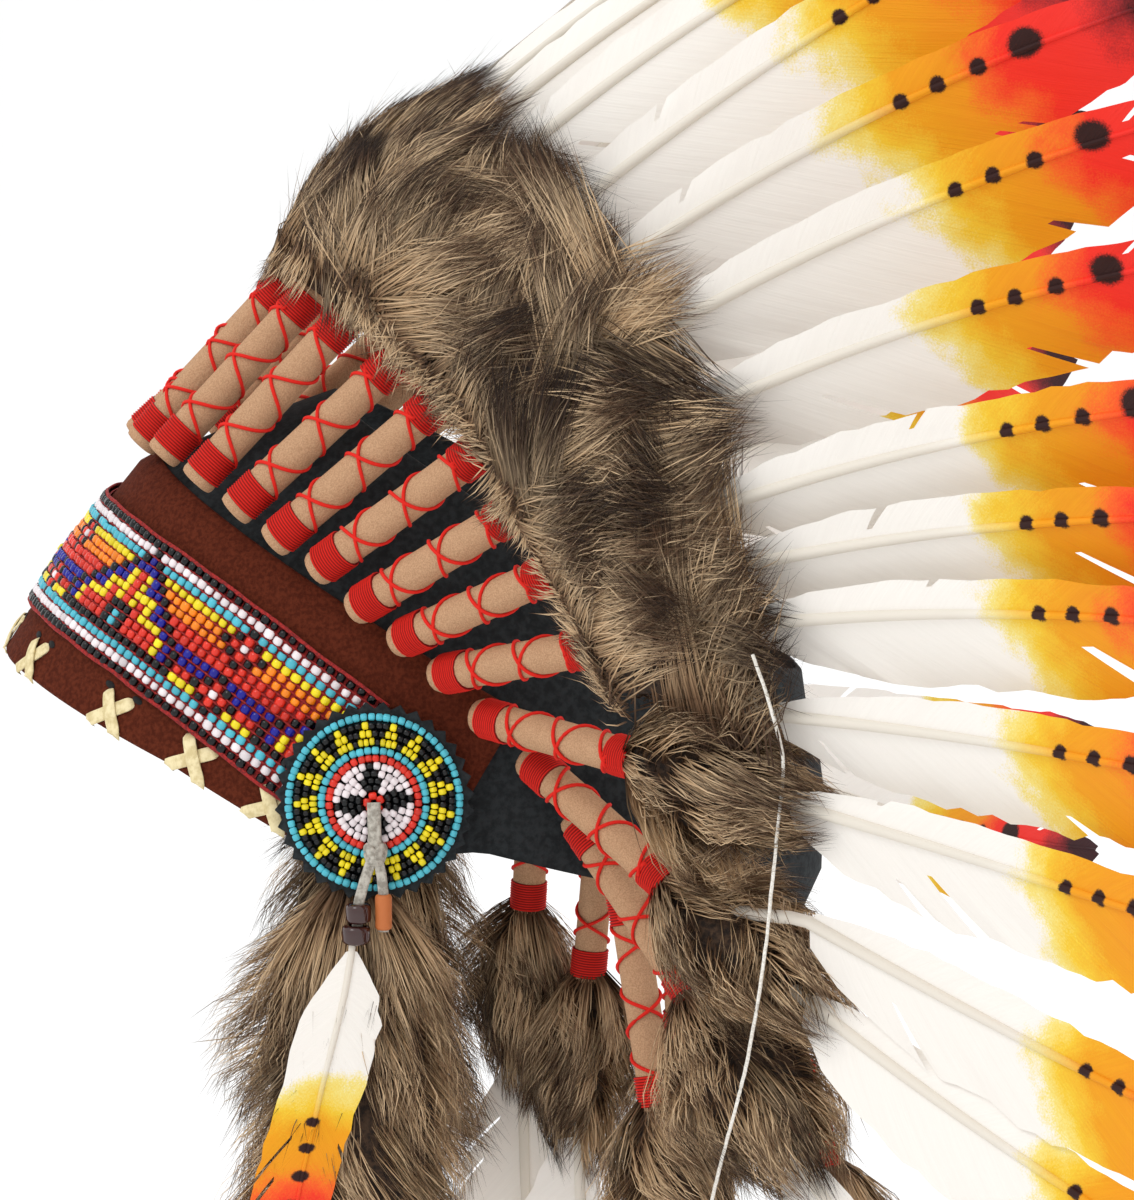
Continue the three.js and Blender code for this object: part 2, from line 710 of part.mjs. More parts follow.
// The crown fur: one ruff from the last covered quill on one side to the last on the other
function crownFurGeometry() {
  const perQuill = 2.8;
  const reach = crownLast + 0.35;
  const sections = [];
  const count = Math.round(2 * reach * perQuill);
  for (let i = 0; i <= count; i += 1) {
    const k = mix(-reach, reach, i / count);
    const row = { ...quillRowAt(quillRows, Math.abs(k)), twist: 0 };
    const lock = Math.sin(k * 2.7 + 0.6);
    const tip = i % 2 === 0 ? 1 : -1;
    const edge = Math.min(1, (reach - Math.abs(k)) * 2 + 0.4);
    const depth = mix(0.7, 1, Math.min(1, Math.abs(k) / 5)) * (1 + 0.12 * lock + 0.06 * tip) * edge;
    sections.push(ruffOutline.map((corner) => {
      const far = corner.out > furSeat ? Math.max(0, (corner.along - 84) / 34) : 0;
      const along = corner.along + far * (3 * lock + 4 * tip);
      const station = stationAt(row, along);
      const proud = Math.max(0, corner.out - furSeat);
      station.point.addScaledVector(station.out, Math.min(corner.out, furSeat) + proud * depth);
      if (k < 0) station.point.x *= -1;
      return station.point;
    }));
  }
  return loft(sections);
}

function tuftGeometry(row, wide) {
  const sides = 8;
  return loft(tuftOutline.map((ring, i) => {
    const section = [];
    for (let j = 0; j < sides; j += 1) {
      const angle = (2 * Math.PI * j) / sides;
      const lock = 1 + 0.14 * Math.sin(3 * angle + 1.7 * i + row.along) + 0.1 * ((i + j) % 2);
      const radius = ring.radius * lock * wide;
      const tip = i > 3 ? 4 * ((i + j) % 2) : 0;
      const { point, out, trail } = stationAt({ ...row, twist: 0 }, ownAlong(row, ring.along + tip));
      point.addScaledVector(out, radius * 0.85 * Math.cos(angle));
      point.addScaledVector(trail, radius * 1.12 * Math.sin(angle));
      section.push(point);
    }
    return section;
  }));
}

// Tufts that have grown together are one piece. quills says which quills each is on.
const tufts = [
  { name: 'fur_left_10', sign: 1, quills: [10], wide: 1 },
  { name: 'fur_left_11', sign: 1, quills: [11], wide: 0.92 },
  { name: 'fur_left_12', sign: 1, quills: [12], wide: 1.2 },
  { name: 'fur_left_13', sign: 1, quills: [13], wide: 0.95 },
  { name: 'fur_left_14', sign: 1, quills: [14], wide: 0.95 },
  { name: 'fur_right_10', sign: -1, quills: [10], wide: 1 },
  { name: 'fur_right_11', sign: -1, quills: [11], wide: 0.92 },
  { name: 'fur_right_trail', sign: -1, quills: [12, 13, 14], wide: 0.85 },
];

function tuftBody(tuft) {
  const rows = rowsOf(tuft.sign);
  const body = joined(tuft.quills.map((k) => tuftGeometry(rows[k], tuft.wide)));
  return cut(body, [...tuft.quills.map((k) => quillRoom(rows[k])), ...secondRooms(rows, [11])]);
}

addPiece(tilted, 'crown_fur', crownFurGeometry(), finishes.fur);
for (const tuft of tufts) {
  const body = tuftBody(tuft);
  addPiece(tilted, tuft.name, tuft.sign > 0 ? body : mirrored(body), finishes.fur);
}

export default headdress;
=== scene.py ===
# Looks for a feathered headdress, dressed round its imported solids. Metres, +Z up, wearer faces -Y.
import math

import bmesh
import bpy
import numpy as np
from mathutils import Matrix, Vector


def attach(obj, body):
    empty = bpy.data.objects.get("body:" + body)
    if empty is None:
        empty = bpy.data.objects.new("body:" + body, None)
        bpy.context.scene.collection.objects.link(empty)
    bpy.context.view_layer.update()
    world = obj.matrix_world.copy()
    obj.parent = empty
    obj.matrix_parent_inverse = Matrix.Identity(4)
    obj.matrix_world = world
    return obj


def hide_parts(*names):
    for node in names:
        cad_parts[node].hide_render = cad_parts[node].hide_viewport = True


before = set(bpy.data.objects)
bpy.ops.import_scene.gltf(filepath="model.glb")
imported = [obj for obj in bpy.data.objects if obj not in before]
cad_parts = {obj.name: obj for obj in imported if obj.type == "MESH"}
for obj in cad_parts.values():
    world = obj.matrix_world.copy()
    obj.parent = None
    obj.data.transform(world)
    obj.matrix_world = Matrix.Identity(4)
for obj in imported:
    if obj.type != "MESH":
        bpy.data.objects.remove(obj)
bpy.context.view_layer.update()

mm = 0.001
print("frame loaded:", len(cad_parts), "nodes")

# The ring that everything stands on, in millimetres on the plane of the band
ring = {
    "tilt": math.radians(31),       # the band slopes down to the nape
    "halfLength": 109.5,            # the line that the quills stand on
    "halfWidth": 78.6,
    "wrapLength": 58.0,
    "wrapRadius": 4.6,
    "shaftRadius": 1.7,
    "fullLength": 278.0,
}

capColumns = ("level", "halfLength", "halfWidth")
capTable = [
    (-46, 109.1, 75.1),
    (-13, 107.8, 73.8),
    (18, 103.6, 70.2),
    (26, 99, 66.5),
    (34, 93, 61.5),
    (47, 82.5, 53.5),
    (60, 72, 46),
]

rimColumns = ("back", "level")
rimTable = [
    (-112, -42.4),
    (-100, -39.6),
    (-60, -34),
    (-23, -32.6),
    (0, -24),
    (18, -12),
    (49, -4),
    (112, 1.5),
]

# along is the distance round from the centre front, rise and flare the slopes at the wrap and tip
quillColumns = ("along", "level", "rise", "tipRise", "flare", "tipFlare", "twist", "length")
quillTable = [
    (0, 23.2, 74, 56, 0, -1, 0, 278),
    (14, 24, 78, 56, -1, 6, 22, 278),
    (31, 26.5, 78, 53, -3, 10, 24, 278),
    (49, 27.5, 78, 52, -2, 14, 24, 278),
    (65, 27.5, 74, 58, 1, 17, 24, 278),
    (79.5, 27, 72, 49, 8, 21, 24, 278),
    (93.5, 27.5, 69, 47, 19, 29, 24, 278),
    (107.5, 25, 66, 43, 28, 36, 22, 278),
    (121, 24, 61, 41, 36, 43, 20, 278),
    (134, 22, 50, 32, 42, 49, 18, 278),
    (148, 18.5, 26, 24, 46, 52, 14, 278),
    (164, 15.5, -4, 14, 41, 46, 12, 278),
    (182, 8.5, -23, -27, 27, 32, 10, 266),
    (203, -1, -50, -38, 12, 10, 10, 262),
    (262, -6, -43, -35, 6, 6, 10, 256),
]
droopTable = [                      # the last quills on the wearer's right hang straight down
    (174, 2, -62, -50, 5, 14, 10, 262),
    (200, -3, -64, -44, 1, 3, 10, 262),
    (226, -6, -56, -38, 0, -2, 10, 256),
]
firstDroop = 12
secondFeathers = {8: 8.5, 9: 9.5, 11: 10.6}   # wrap with two feathers, and where the second lies
sides = {1: "left", -1: "right"}


def tableValue(table, columns, name, at, key):
    keyColumn = [row[columns.index(key)] for row in table]
    return np.interp(at, keyColumn, [row[columns.index(name)] for row in table])


def toWorld(points, sign=1):        # band-plane millimetres to upright metres
    c, s = math.cos(ring["tilt"]), math.sin(ring["tilt"])
    x, y, z = np.asarray(points, float).reshape(-1, 3).T
    return np.stack([sign * x, y * c + z * s, -y * s + z * c], 1) * mm


tiltMatrix = toWorld(np.eye(3)) / mm    # turns a band-plane direction upright


def unit(vectors, least=0.0):
    return vectors / (np.linalg.norm(vectors, axis=-1, keepdims=True) + least)


def ellipseNormal(halfLength, halfWidth, angle):
    return unit(np.stack([np.sin(angle) / halfWidth, -np.cos(angle) / halfLength, np.zeros_like(angle)], -1))


def ellipsePoint(halfLength, halfWidth, angle, level, out=0):
    p = np.stack([halfWidth * np.sin(angle), -halfLength * np.cos(angle), level + 0 * angle], -1)
    return p + ellipseNormal(halfLength, halfWidth, angle) * np.asarray(out)[..., None]


def capHalves(level):               # the cap's half length and half width at a level
    return [tableValue(capTable, capColumns, name, level, "level") for name in ("halfLength", "halfWidth")]


def capPoint(angle, level, out=0):  # a point on the cap, at a distance out from its surface
    angle, level = np.broadcast_arrays(np.asarray(angle, float), np.asarray(level, float))
    return ellipsePoint(*capHalves(level), angle, level, out)


def ringOut(angle):                 # straight out from the ring
    return ellipseNormal(ring["halfLength"], ring["halfWidth"], angle)


def rimLevel(angle):
    back = -ring["halfLength"] * np.cos(angle)
    return tableValue(rimTable, rimColumns, "level", back, "back")


ringAngles = np.linspace(0, math.pi, 721)
ringArcs = np.concatenate([[0], np.cumsum(np.linalg.norm(np.diff(
    ellipsePoint(ring["halfLength"], ring["halfWidth"], ringAngles, 0), axis=0), axis=1))])


def quillRow(side, place):          # a quill's row, also between two quills
    table = quillTable if side > 0 else quillTable[:firstDroop] + droopTable
    return {name: float(np.interp(place, range(len(table)), [row[i] for row in table]))
            for i, name in enumerate(quillColumns)}


def quillPath(row, twisted=True):   # sampled centre line of a quill with its axes
    along = np.arange(0, row["length"] + 1.01, 1.0)     # a sample each millimetre
    bend = np.maximum(0, (along - ring["wrapLength"]) / (row["length"] - ring["wrapLength"]))
    rise = np.radians(row["rise"] + (row["tipRise"] - row["rise"]) * bend)
    flare = np.radians(row["flare"] + (row["tipFlare"] - row["flare"]) * bend)
    way = np.stack([np.sin(flare), np.cos(flare) * np.cos(rise), np.cos(flare) * np.sin(rise)], 1)
    angle = np.interp(row["along"], ringArcs, ringAngles)
    foot = ellipsePoint(ring["halfLength"], ring["halfWidth"], angle, row["level"])
    steps = (way[1:] + way[:-1]) / 2 * np.diff(along)[:, None]
    point = foot + np.concatenate([[[0, 0, 0]], np.cumsum(steps, 0)])
    out = ringOut(angle)
    out = unit(out - way * (way @ out)[:, None])
    trail = np.cross(way, out)
    turn = math.radians(row["twist"] if twisted else 0)
    return {
        "along": along,
        "point": point,
        "out": out * math.cos(turn) + trail * math.sin(turn),
        "trail": trail * math.cos(turn) - out * math.sin(turn),
    }


def pathAt(path, name, along):
    return np.stack([np.interp(along, path["along"], path[name][:, i]) for i in range(3)], -1)


def onPath(path, along, out=0, trail=0):
    point, o, t = (pathAt(path, name, along) for name in ("point", "out", "trail"))
    return point + o * np.asarray(out)[..., None] + t * np.asarray(trail)[..., None]


def ownAlong(row, along):           # a full-length distance, shortened to the quill's own length
    wrap = ring["wrapLength"]
    past = np.maximum(0, along - wrap) * (row["length"] - wrap) / (ring["fullLength"] - wrap)
    return np.minimum(along, wrap) + past


def allQuills():                    # every quill as (side, number)
    return [(1, 0)] + [(side, k) for side in (1, -1) for k in range(1, len(quillTable))]


def quillName(side, k):
    return "quill_center" if k == 0 else f"quill_{sides[side]}_{k:02d}"


def restMode():                     # leaves edit mode with nothing selected
    if bpy.context.object and bpy.context.object.mode != "OBJECT":
        bpy.ops.object.mode_set(mode="OBJECT")
    bpy.ops.object.select_all(action="DESELECT")


def meshObject(name, points, faces, material):      # faces is a list of arrays, one for each face size
    mesh = bpy.data.meshes.new(name)
    loops = np.concatenate([f.ravel() for f in faces]).astype(np.int32)
    sizes = np.concatenate([np.full(len(f), f.shape[1]) for f in faces])
    mesh.vertices.add(len(points))
    mesh.vertices.foreach_set("co", np.asarray(points, np.float32).ravel())
    mesh.loops.add(len(loops))
    mesh.loops.foreach_set("vertex_index", loops)
    mesh.polygons.add(len(sizes))
    mesh.polygons.foreach_set("loop_start", np.concatenate([[0], np.cumsum(sizes)[:-1]]))
    mesh.polygons.foreach_set("loop_total", sizes)
    mesh.polygons.foreach_set("use_smooth", np.full(len(sizes), True))
    mesh.update(calc_edges=True)
    piece = bpy.data.objects.new(name, mesh)
    bpy.context.scene.collection.objects.link(piece)
    mesh.materials.append(material)
    return piece


def addFloat(piece, name, values):
    layer = piece.data.attributes.new(name, "FLOAT", "POINT")
    layer.data.foreach_set("value", np.asarray(values, np.float32).ravel())


def addColour(piece, name, values):
    values = np.asarray(values, np.float32)
    layer = piece.data.attributes.new(name, "FLOAT_COLOR", "POINT")
    layer.data.foreach_set("color", np.concatenate([values, np.ones((len(values), 1))], 1).ravel())


def addUv(piece, name, perVertex):
    layer = piece.data.uv_layers.new(name=name)
    corners = np.empty(len(piece.data.loops), np.int32)
    piece.data.loops.foreach_get("vertex_index", corners)
    layer.data.foreach_set("uv", np.asarray(perVertex, np.float32)[corners].ravel())


def gridFaces(rows, columns, closed=False):     # quads of a rows x columns lattice
    i, j = np.meshgrid(np.arange(rows - 1), np.arange(columns if closed else columns - 1), indexing="ij")
    a = i * columns + j
    b = i * columns + (j + 1) % columns
    return np.stack([a, b, b + columns, a + columns], -1).reshape(-1, 4)


def closedFaces(rows, count):       # faces of rings in a row, then a fan at each end round a last point
    j = np.arange(count)
    last, middle = (rows - 1) * count, rows * count
    start = np.stack([j * 0 + middle, (j + 1) % count, j], 1)
    end = np.stack([j * 0 + middle + 1, last + j, last + (j + 1) % count], 1)
    return [gridFaces(rows, count, closed=True), np.concatenate([start, end])]


def turnAngles(count):
    return np.linspace(0, 2 * math.pi, count, endpoint=False)


def pathWay(path):                  # unit directions along a line of points
    return unit(np.gradient(path, axis=0))


crossAim = (0.31, 0.17, 0.93)       # no tube here runs along this direction


def tube(path, radius, count):      # points and faces of a closed tube
    radius = np.broadcast_to(radius, len(path))
    way = pathWay(path)
    side = unit(np.cross(way, crossAim))
    other = np.cross(side, way)
    turn = turnAngles(count)
    around = side[:, None] * np.cos(turn)[None, :, None] + other[:, None] * np.sin(turn)[None, :, None]
    points = path[:, None] + around * radius[:, None, None]
    return np.concatenate([points.reshape(-1, 3), path[[0, -1]]]), closedFaces(len(path), count)


def closedStrip(sections):          # a body with closed ends from equal rings of points
    sections = np.asarray(sections)
    points = np.concatenate([sections.reshape(-1, 3), [sections[0].mean(0), sections[-1].mean(0)]])
    return points, closedFaces(*sections.shape[:2])


def merged(parts):                  # joins (points, faces) pairs into one
    points, quads, tris, first = [], [], [], 0
    for p, faces in parts:
        points.append(p)
        for f in faces:
            (quads if f.shape[1] == 4 else tris).append(f + first)
        first += len(p)
    return np.concatenate(points), [np.concatenate(group) for group in (quads, tris) if group]


def copies(shape, places, axes):    # one shape at many places; axes are 3x3, a row for each axis
    points, faces = shape
    moved = np.einsum("pi,nij->npj", points, axes) + places[:, None]
    count = len(points)
    shift = (np.arange(len(places)) * count)[:, None, None]
    joined = [(f[None] + shift).reshape(-1, f.shape[1]) for f in faces]
    return moved.reshape(-1, 3), joined


def facing(piece):                  # turns all normals outwards
    mesh = bmesh.new()
    mesh.from_mesh(piece.data)
    bmesh.ops.recalc_face_normals(mesh, faces=mesh.faces)
    mesh.to_mesh(piece.data)
    mesh.free()
    return piece


def finishPiece(piece, slotName, *nodes):
    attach(piece, "root")
    if nodes:
        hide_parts(*nodes)


def colour(*levels):                # red, green and blue of 0 to 255 as the shader wants them
    return tuple(((v / 255 + 0.055) / 1.055) ** 2.4 if v > 10 else v / 3295 for v in levels) + (1,)


def newGroup(name, inputs, outputs):
    tree = bpy.data.node_groups.new(name, "ShaderNodeTree")
    for label, kind, value in inputs:
        socket = tree.interface.new_socket(label, in_out="INPUT", socket_type=kind)
        socket.default_value = value
    for label, kind in outputs:
        tree.interface.new_socket(label, in_out="OUTPUT", socket_type=kind)
    return tree, tree.nodes.new("NodeGroupInput").outputs, tree.nodes.new("NodeGroupOutput").inputs


def addNode(tree, kind, feeds=None, **values):
    node = tree.nodes.new(kind)
    for key, value in values.items():
        setattr(node, key, value)
    for key, value in (feeds or {}).items():
        if isinstance(value, bpy.types.NodeSocket):
            tree.links.new(value, node.inputs[key])
        else:
            node.inputs[key].default_value = value
    return node


def addNoise(tree, place, scale, detail):
    return addNode(tree, "ShaderNodeTexNoise", {"Vector": place, "Scale": scale, "Detail": detail})


def attributeFac(tree, name):
    return addNode(tree, "ShaderNodeAttribute", attribute_name=name).outputs["Fac"]


def doMath(tree, operation, a, b=0.0, c=0.0):
    return addNode(tree, "ShaderNodeMath", {0: a, 1: b, 2: c}, operation=operation).outputs[0]


def between(tree, value, low, high):        # soft step from 0 at low to 1 at high
    node = addNode(tree, "ShaderNodeMapRange", {"Value": value, "From Min": low, "From Max": high},
                   interpolation_type="SMOOTHSTEP")
    return node.outputs["Result"]


def blendColour(tree, share, a, b, blend="MIX"):
    node = addNode(tree, "ShaderNodeMix", data_type="RGBA", blend_type=blend)
    for socket, value in ((node.inputs[0], share), (node.inputs[6], a), (node.inputs[7], b)):
        if isinstance(value, bpy.types.NodeSocket):
            tree.links.new(value, socket)
        else:
            socket.default_value = value
    return node.outputs[2]


def ramp(tree, value, stops):
    node = addNode(tree, "ShaderNodeValToRGB", {0: value})
    elements = node.color_ramp.elements
    while len(elements) < len(stops):
        elements.new(0.5)
    for element, (place, shade) in zip(elements, stops):
        element.position = place
        element.color = shade
    return node.outputs[0]


def makeGrain():                    # fine relief and a mask for nap, felt, hide and spun thread
    tree, given, made = newGroup("grain", [
        ("Scale", "NodeSocketFloat", 400.0),
        ("Depth", "NodeSocketFloat", 0.0003),
    ], [("Mask", "NodeSocketFloat"), ("Normal", "NodeSocketVector")])
    noise = addNoise(tree, addNode(tree, "ShaderNodeTexCoord").outputs["Object"], given["Scale"], 4.0)
    noise.inputs["Roughness"].default_value = 0.6
    bump = addNode(tree, "ShaderNodeBump", {"Height": noise.outputs["Fac"], "Distance": given["Depth"]})
    tree.links.new(noise.outputs["Fac"], made["Mask"])
    tree.links.new(bump.outputs["Normal"], made["Normal"])
    return tree


grainGroup = makeGrain()


def newMaterial(name, roughness=0.6, **sockets):
    material = bpy.data.materials.new(name)
    material.use_nodes = True
    tree = material.node_tree
    shader = tree.nodes["Principled BSDF"]
    shader.inputs["Roughness"].default_value = roughness
    for key, value in sockets.items():
        shader.inputs[key].default_value = value
    return material, tree, shader


def grainMaterial(name, dark, light, scale, depth, roughness, **sockets):
    material, tree, shader = newMaterial(name, roughness, **sockets)
    grain = addNode(tree, "ShaderNodeGroup", node_tree=grainGroup)
    grain.inputs["Scale"].default_value = scale
    grain.inputs["Depth"].default_value = depth
    share = between(tree, grain.outputs["Mask"], 0.35, 0.65)
    tree.links.new(blendColour(tree, share, dark, light), shader.inputs["Base Color"])
    tree.links.new(grain.outputs["Normal"], shader.inputs["Normal"])
    return material


darkLeather = grainMaterial("darkLeather", colour(26, 29, 31), colour(42, 46, 48), 520, 0.0003, 0.85,
                            **{"Specular IOR Level": 0.2})
brownSuede = grainMaterial("brownSuede", colour(72, 29, 17), colour(94, 42, 26), 900, 0.0004, 0.95,
                           **{"Specular IOR Level": 0.08})
greySuede = grainMaterial("greySuede", colour(140, 134, 124), colour(188, 183, 172), 700, 0.0003, 0.95)
creamLacing = grainMaterial("creamLacing", colour(206, 188, 138), colour(232, 217, 172), 500, 0.0002, 0.8)
feltWrap = grainMaterial("feltWrap", colour(176, 136, 103), colour(200, 160, 126), 2600, 0.0003, 0.97,
                         **{"Specular IOR Level": 0.1})
beadThread = grainMaterial("beadThread", colour(110, 14, 14), colour(170, 30, 26), 1500, 0.0001, 0.8)
whiteThread = grainMaterial("whiteThread", colour(214, 208, 196), colour(244, 241, 234), 1500, 0.0001, 0.8)


def makeBeadMaterial():             # glass beads, each with its own colour
    material, tree, shader = newMaterial("seedBeads", 0.16, **{"Specular IOR Level": 0.35})
    tint = addNode(tree, "ShaderNodeAttribute", attribute_name="tint")
    tree.links.new(tint.outputs["Color"], shader.inputs["Base Color"])
    return material


def makeYarnMaterial():             # wool yarn, with painted shade: deep red in the grooves where its turns meet, bright red on the ridges
    material, tree, shader = newMaterial("redYarn", 0.8, **{"Specular IOR Level": 0.2})
    share = between(tree, attributeFac(tree, "raised"), 0.0, 0.8)
    # painted shade: the ridge mask darkens the grooves between turns and the sunk ends of a band
    shade = blendColour(tree, share, colour(112, 10, 8), colour(218, 38, 28))
    tree.links.new(shade, shader.inputs["Base Color"])
    return material


seedBead = makeBeadMaterial()
redYarn = makeYarnMaterial()
# painted shade: near black for the shade inside the lacing holes
holeShade = newMaterial("holeShade", 0.9, **{"Base Color": (0.006, 0.005, 0.005, 1)})[0]
brownBead = newMaterial("brownBead", 0.18, **{"Base Color": colour(52, 20, 17), "Coat Weight": 0.4})[0]
tanBead = newMaterial("tanBead", 0.65, **{"Base Color": colour(186, 104, 50)})[0]

# Dye by distance up the feather in millimetres; the steps slant with the barbs
dye = {
    "slant": 0.5,
    "stops": [
        (176, colour(236, 231, 224)),
        (181, colour(232, 212, 120)),
        (188, colour(230, 188, 48)),
        (198, colour(226, 150, 18)),
        (211, colour(228, 142, 22)),
        (219, colour(236, 96, 34)),
        (227, colour(234, 46, 32)),
        (246, colour(232, 50, 44)),
        (256, colour(140, 34, 38)),
        (264, colour(52, 18, 22)),
    ],
    "dots": [                       # along, side, half length, half width
        (196, -0.4, 1.9, 1.9),
        (206, -0.4, 1.9, 2.0),
        (217, -0.5, 2.2, 2.2),
        (231, -1.6, 4.4, 3.8),
    ],
    "dotColour": colour(46, 22, 20),
    "dotEdge": (1.65, 1.25),
    "dotRough": (0.5, 0.4),         # how far mist and spray fray a dot
    "toneShift": (6.0, 0.8),        # how far a feather's own tone shifts its dye, and its dots
    "shaftColour": colour(206, 196, 178),
    "shaftShare": 0.55,
    "shaftWidth": (0.35, 0.05),
    "shaftEnd": (200, 170),         # the shaft's own colour fades out between these
    "mist": (90.0, 20.0),           # scale and strength of the dye's uneven steps
    "spray": (2200.0, 9.0),         # the same for its fine grain
    "barbs": (260.0, 2.0, 1.0),     # scale of the streaks along and across the feather
    "barbColour": colour(255, 250, 240),
    "barbShare": 0.14,
    "barbDepth": 0.0003,
    "map": (300.0, 60.0),           # millimetres across the dye map, along and aside
    "middle": 0.5,                  # where the shaft lies on the map
}


def makeFeatherMaterial():
    material, tree, shader = newMaterial("dyedFeather", 0.6, **{"Specular IOR Level": 0.2})
    place = addNode(tree, "ShaderNodeUVMap", uv_map="dye").outputs[0]
    parts = addNode(tree, "ShaderNodeSeparateXYZ", {0: place})
    along = doMath(tree, "MULTIPLY", parts.outputs[0], dye["map"][0])
    side = doMath(tree, "MULTIPLY", doMath(tree, "SUBTRACT", parts.outputs[1], dye["middle"]), dye["map"][1])
    width = doMath(tree, "ABSOLUTE", side)
    tone = attributeFac(tree, "tone")
    toneDye, toneDot = dye["toneShift"]
    level = doMath(tree, "MULTIPLY_ADD", width, -dye["slant"], along)
    level = doMath(tree, "MULTIPLY_ADD", tone, toneDye, level)
    inSpace = addNode(tree, "ShaderNodeTexCoord").outputs["Object"]
    mist = addNoise(tree, inSpace, dye["mist"][0], 2.0).outputs["Fac"]
    spray = addNoise(tree, inSpace, dye["spray"][0], 1.0).outputs["Fac"]
    for noise, strength in ((mist, dye["mist"][1]), (spray, dye["spray"][1])):
        level = doMath(tree, "ADD", level, doMath(tree, "MULTIPLY_ADD", noise, strength, -strength / 2))
    low, high = dye["stops"][0][0], dye["stops"][-1][0]
    share = doMath(tree, "DIVIDE", doMath(tree, "SUBTRACT", level, low), high - low)
    shade = ramp(tree, share, [((at - low) / (high - low), tint) for at, tint in dye["stops"]])
    dotted = 0.0
    for at, aside, halfLength, halfWidth in dye["dots"]:
        dx = doMath(tree, "DIVIDE", doMath(tree, "SUBTRACT", along, at), halfLength)
        dx = doMath(tree, "MULTIPLY_ADD", tone, toneDot, dx)
        dy = doMath(tree, "DIVIDE", doMath(tree, "SUBTRACT", side, aside), halfWidth)
        reach = doMath(tree, "SQRT", doMath(tree, "ADD", doMath(tree, "MULTIPLY", dx, dx),
                                            doMath(tree, "MULTIPLY", dy, dy)))
        for noise, rough in zip((mist, spray), dye["dotRough"]):
            reach = doMath(tree, "MULTIPLY_ADD", noise, rough, reach)
        dotted = doMath(tree, "MAXIMUM", dotted, between(tree, reach, *dye["dotEdge"]))
    shaft = between(tree, width, *dye["shaftWidth"])
    shaft = doMath(tree, "MULTIPLY", shaft, between(tree, along, *dye["shaftEnd"]))
    shade = blendColour(tree, doMath(tree, "MULTIPLY", shaft, dye["shaftShare"]), shade, dye["shaftColour"])
    shade = blendColour(tree, dotted, shade, dye["dotColour"])
    barbPlace = addNode(tree, "ShaderNodeUVMap", uv_map="barb").outputs[0]
    drawn = addNode(tree, "ShaderNodeVectorMath", {0: barbPlace, 1: dye["barbs"]}, operation="MULTIPLY")
    streak = addNoise(tree, drawn.outputs[0], 1.0, 3.0).outputs["Fac"]
    fade = doMath(tree, "MULTIPLY", between(tree, streak, 0.3, 0.7), dye["barbShare"])
    shade = blendColour(tree, fade, shade, dye["barbColour"], "SOFT_LIGHT")
    tree.links.new(shade, shader.inputs["Base Color"])
    bump = addNode(tree, "ShaderNodeBump", {"Height": streak, "Distance": dye["barbDepth"], "Strength": 0.5})
    tree.links.new(bump.outputs[0], shader.inputs["Normal"])
    return material


dyedFeather = makeFeatherMaterial()
furDye = {
    "stops": [                      # from root to tip; the dark root end is painted shade deep in the fur, the dark tip end is the hairs' own colour
        (0.0, colour(62, 43, 29)),
        (0.2, colour(112, 83, 58)),
        (0.42, colour(196, 164, 126)),
        (0.6, colour(208, 180, 144)),
        (0.78, colour(98, 70, 49)),
        (0.92, colour(46, 31, 22)),
    ],
    "shift": (0.1, -0.2),           # along the hair, for every lock and by its tone
    "dark": colour(28, 18, 12),
    "darkShare": 0.7,
    "tones": (0.15, 0.85),          # the darkest and the lightest lock
}


def makeFurMaterial():
    material, tree, shader = newMaterial("brownFur", 0.6, **{"Specular IOR Level": 0.2})
    tone = attributeFac(tree, "tone")
    share = doMath(tree, "ADD", attributeFac(tree, "hair"), furDye["shift"][0])
    # the ramp's dark roots are painted shade
    shade = ramp(tree, doMath(tree, "MULTIPLY_ADD", tone, furDye["shift"][1], share), furDye["stops"])
    dark = blendColour(tree, furDye["darkShare"], shade, furDye["dark"])
    shade = blendColour(tree, between(tree, tone, *furDye["tones"]), dark, shade)
    tree.links.new(shade, shader.inputs["Base Color"])
    return material


brownFur = makeFurMaterial()
# painted shade: the dark body stands in for the dense fur deep in shade
undercoatShade = grainMaterial("undercoatShade", colour(30, 20, 14), colour(74, 54, 38), 500, 0.0006, 0.95)
print("materials ready")

# Cap, suede band and back strap
facet = 360 / 42                    # degrees for one facet of the solids
cap = {
    "wall": 2.0,
    "angles": 168,
    "sideTop": 18,                  # evenly spaced levels from the rim to here
    "sideRows": 9,
    "crown": [22, 26, 30, 34, 40, 47, 54, 60],
    "pleat": 0.35,
    "suedeInner": 0.6,
    "suedeThick": 1.5,
    "suedeHem": 0.6,
    "suedeFoot": [0, 0.5, 1.2],     # rows above its lower edge
    "suedeSide": (3, 18, 12),       # start above that edge, end level, rows
    "suedeTop": [20, 21.6, 22.5, 23],
    "suedeReach": 11 * facet,
    "beadReach": 9.2 * facet,
    "strapReach": 4 * facet,
    "strapLevels": [30, 30.6, 31.6, 34, 38, 42, 47, 50, 51.4, 52.4, 53],
}


def skinSection(levels, inner, thick, angle):   # a rounded strip section at one angle
    levels = np.asarray(levels, float)
    count = len(levels)
    edge = np.minimum(1, np.minimum(np.arange(count), np.arange(count)[::-1]) / 1.5)
    swell = thick / 2 * np.sqrt(np.clip(1 - (1 - edge) ** 2, 0.12, 1))
    outer = capPoint(angle, levels, inner + thick / 2 + swell)
    under = capPoint(angle, levels[::-1], inner + thick / 2 - swell[::-1])
    return np.concatenate([outer, under])


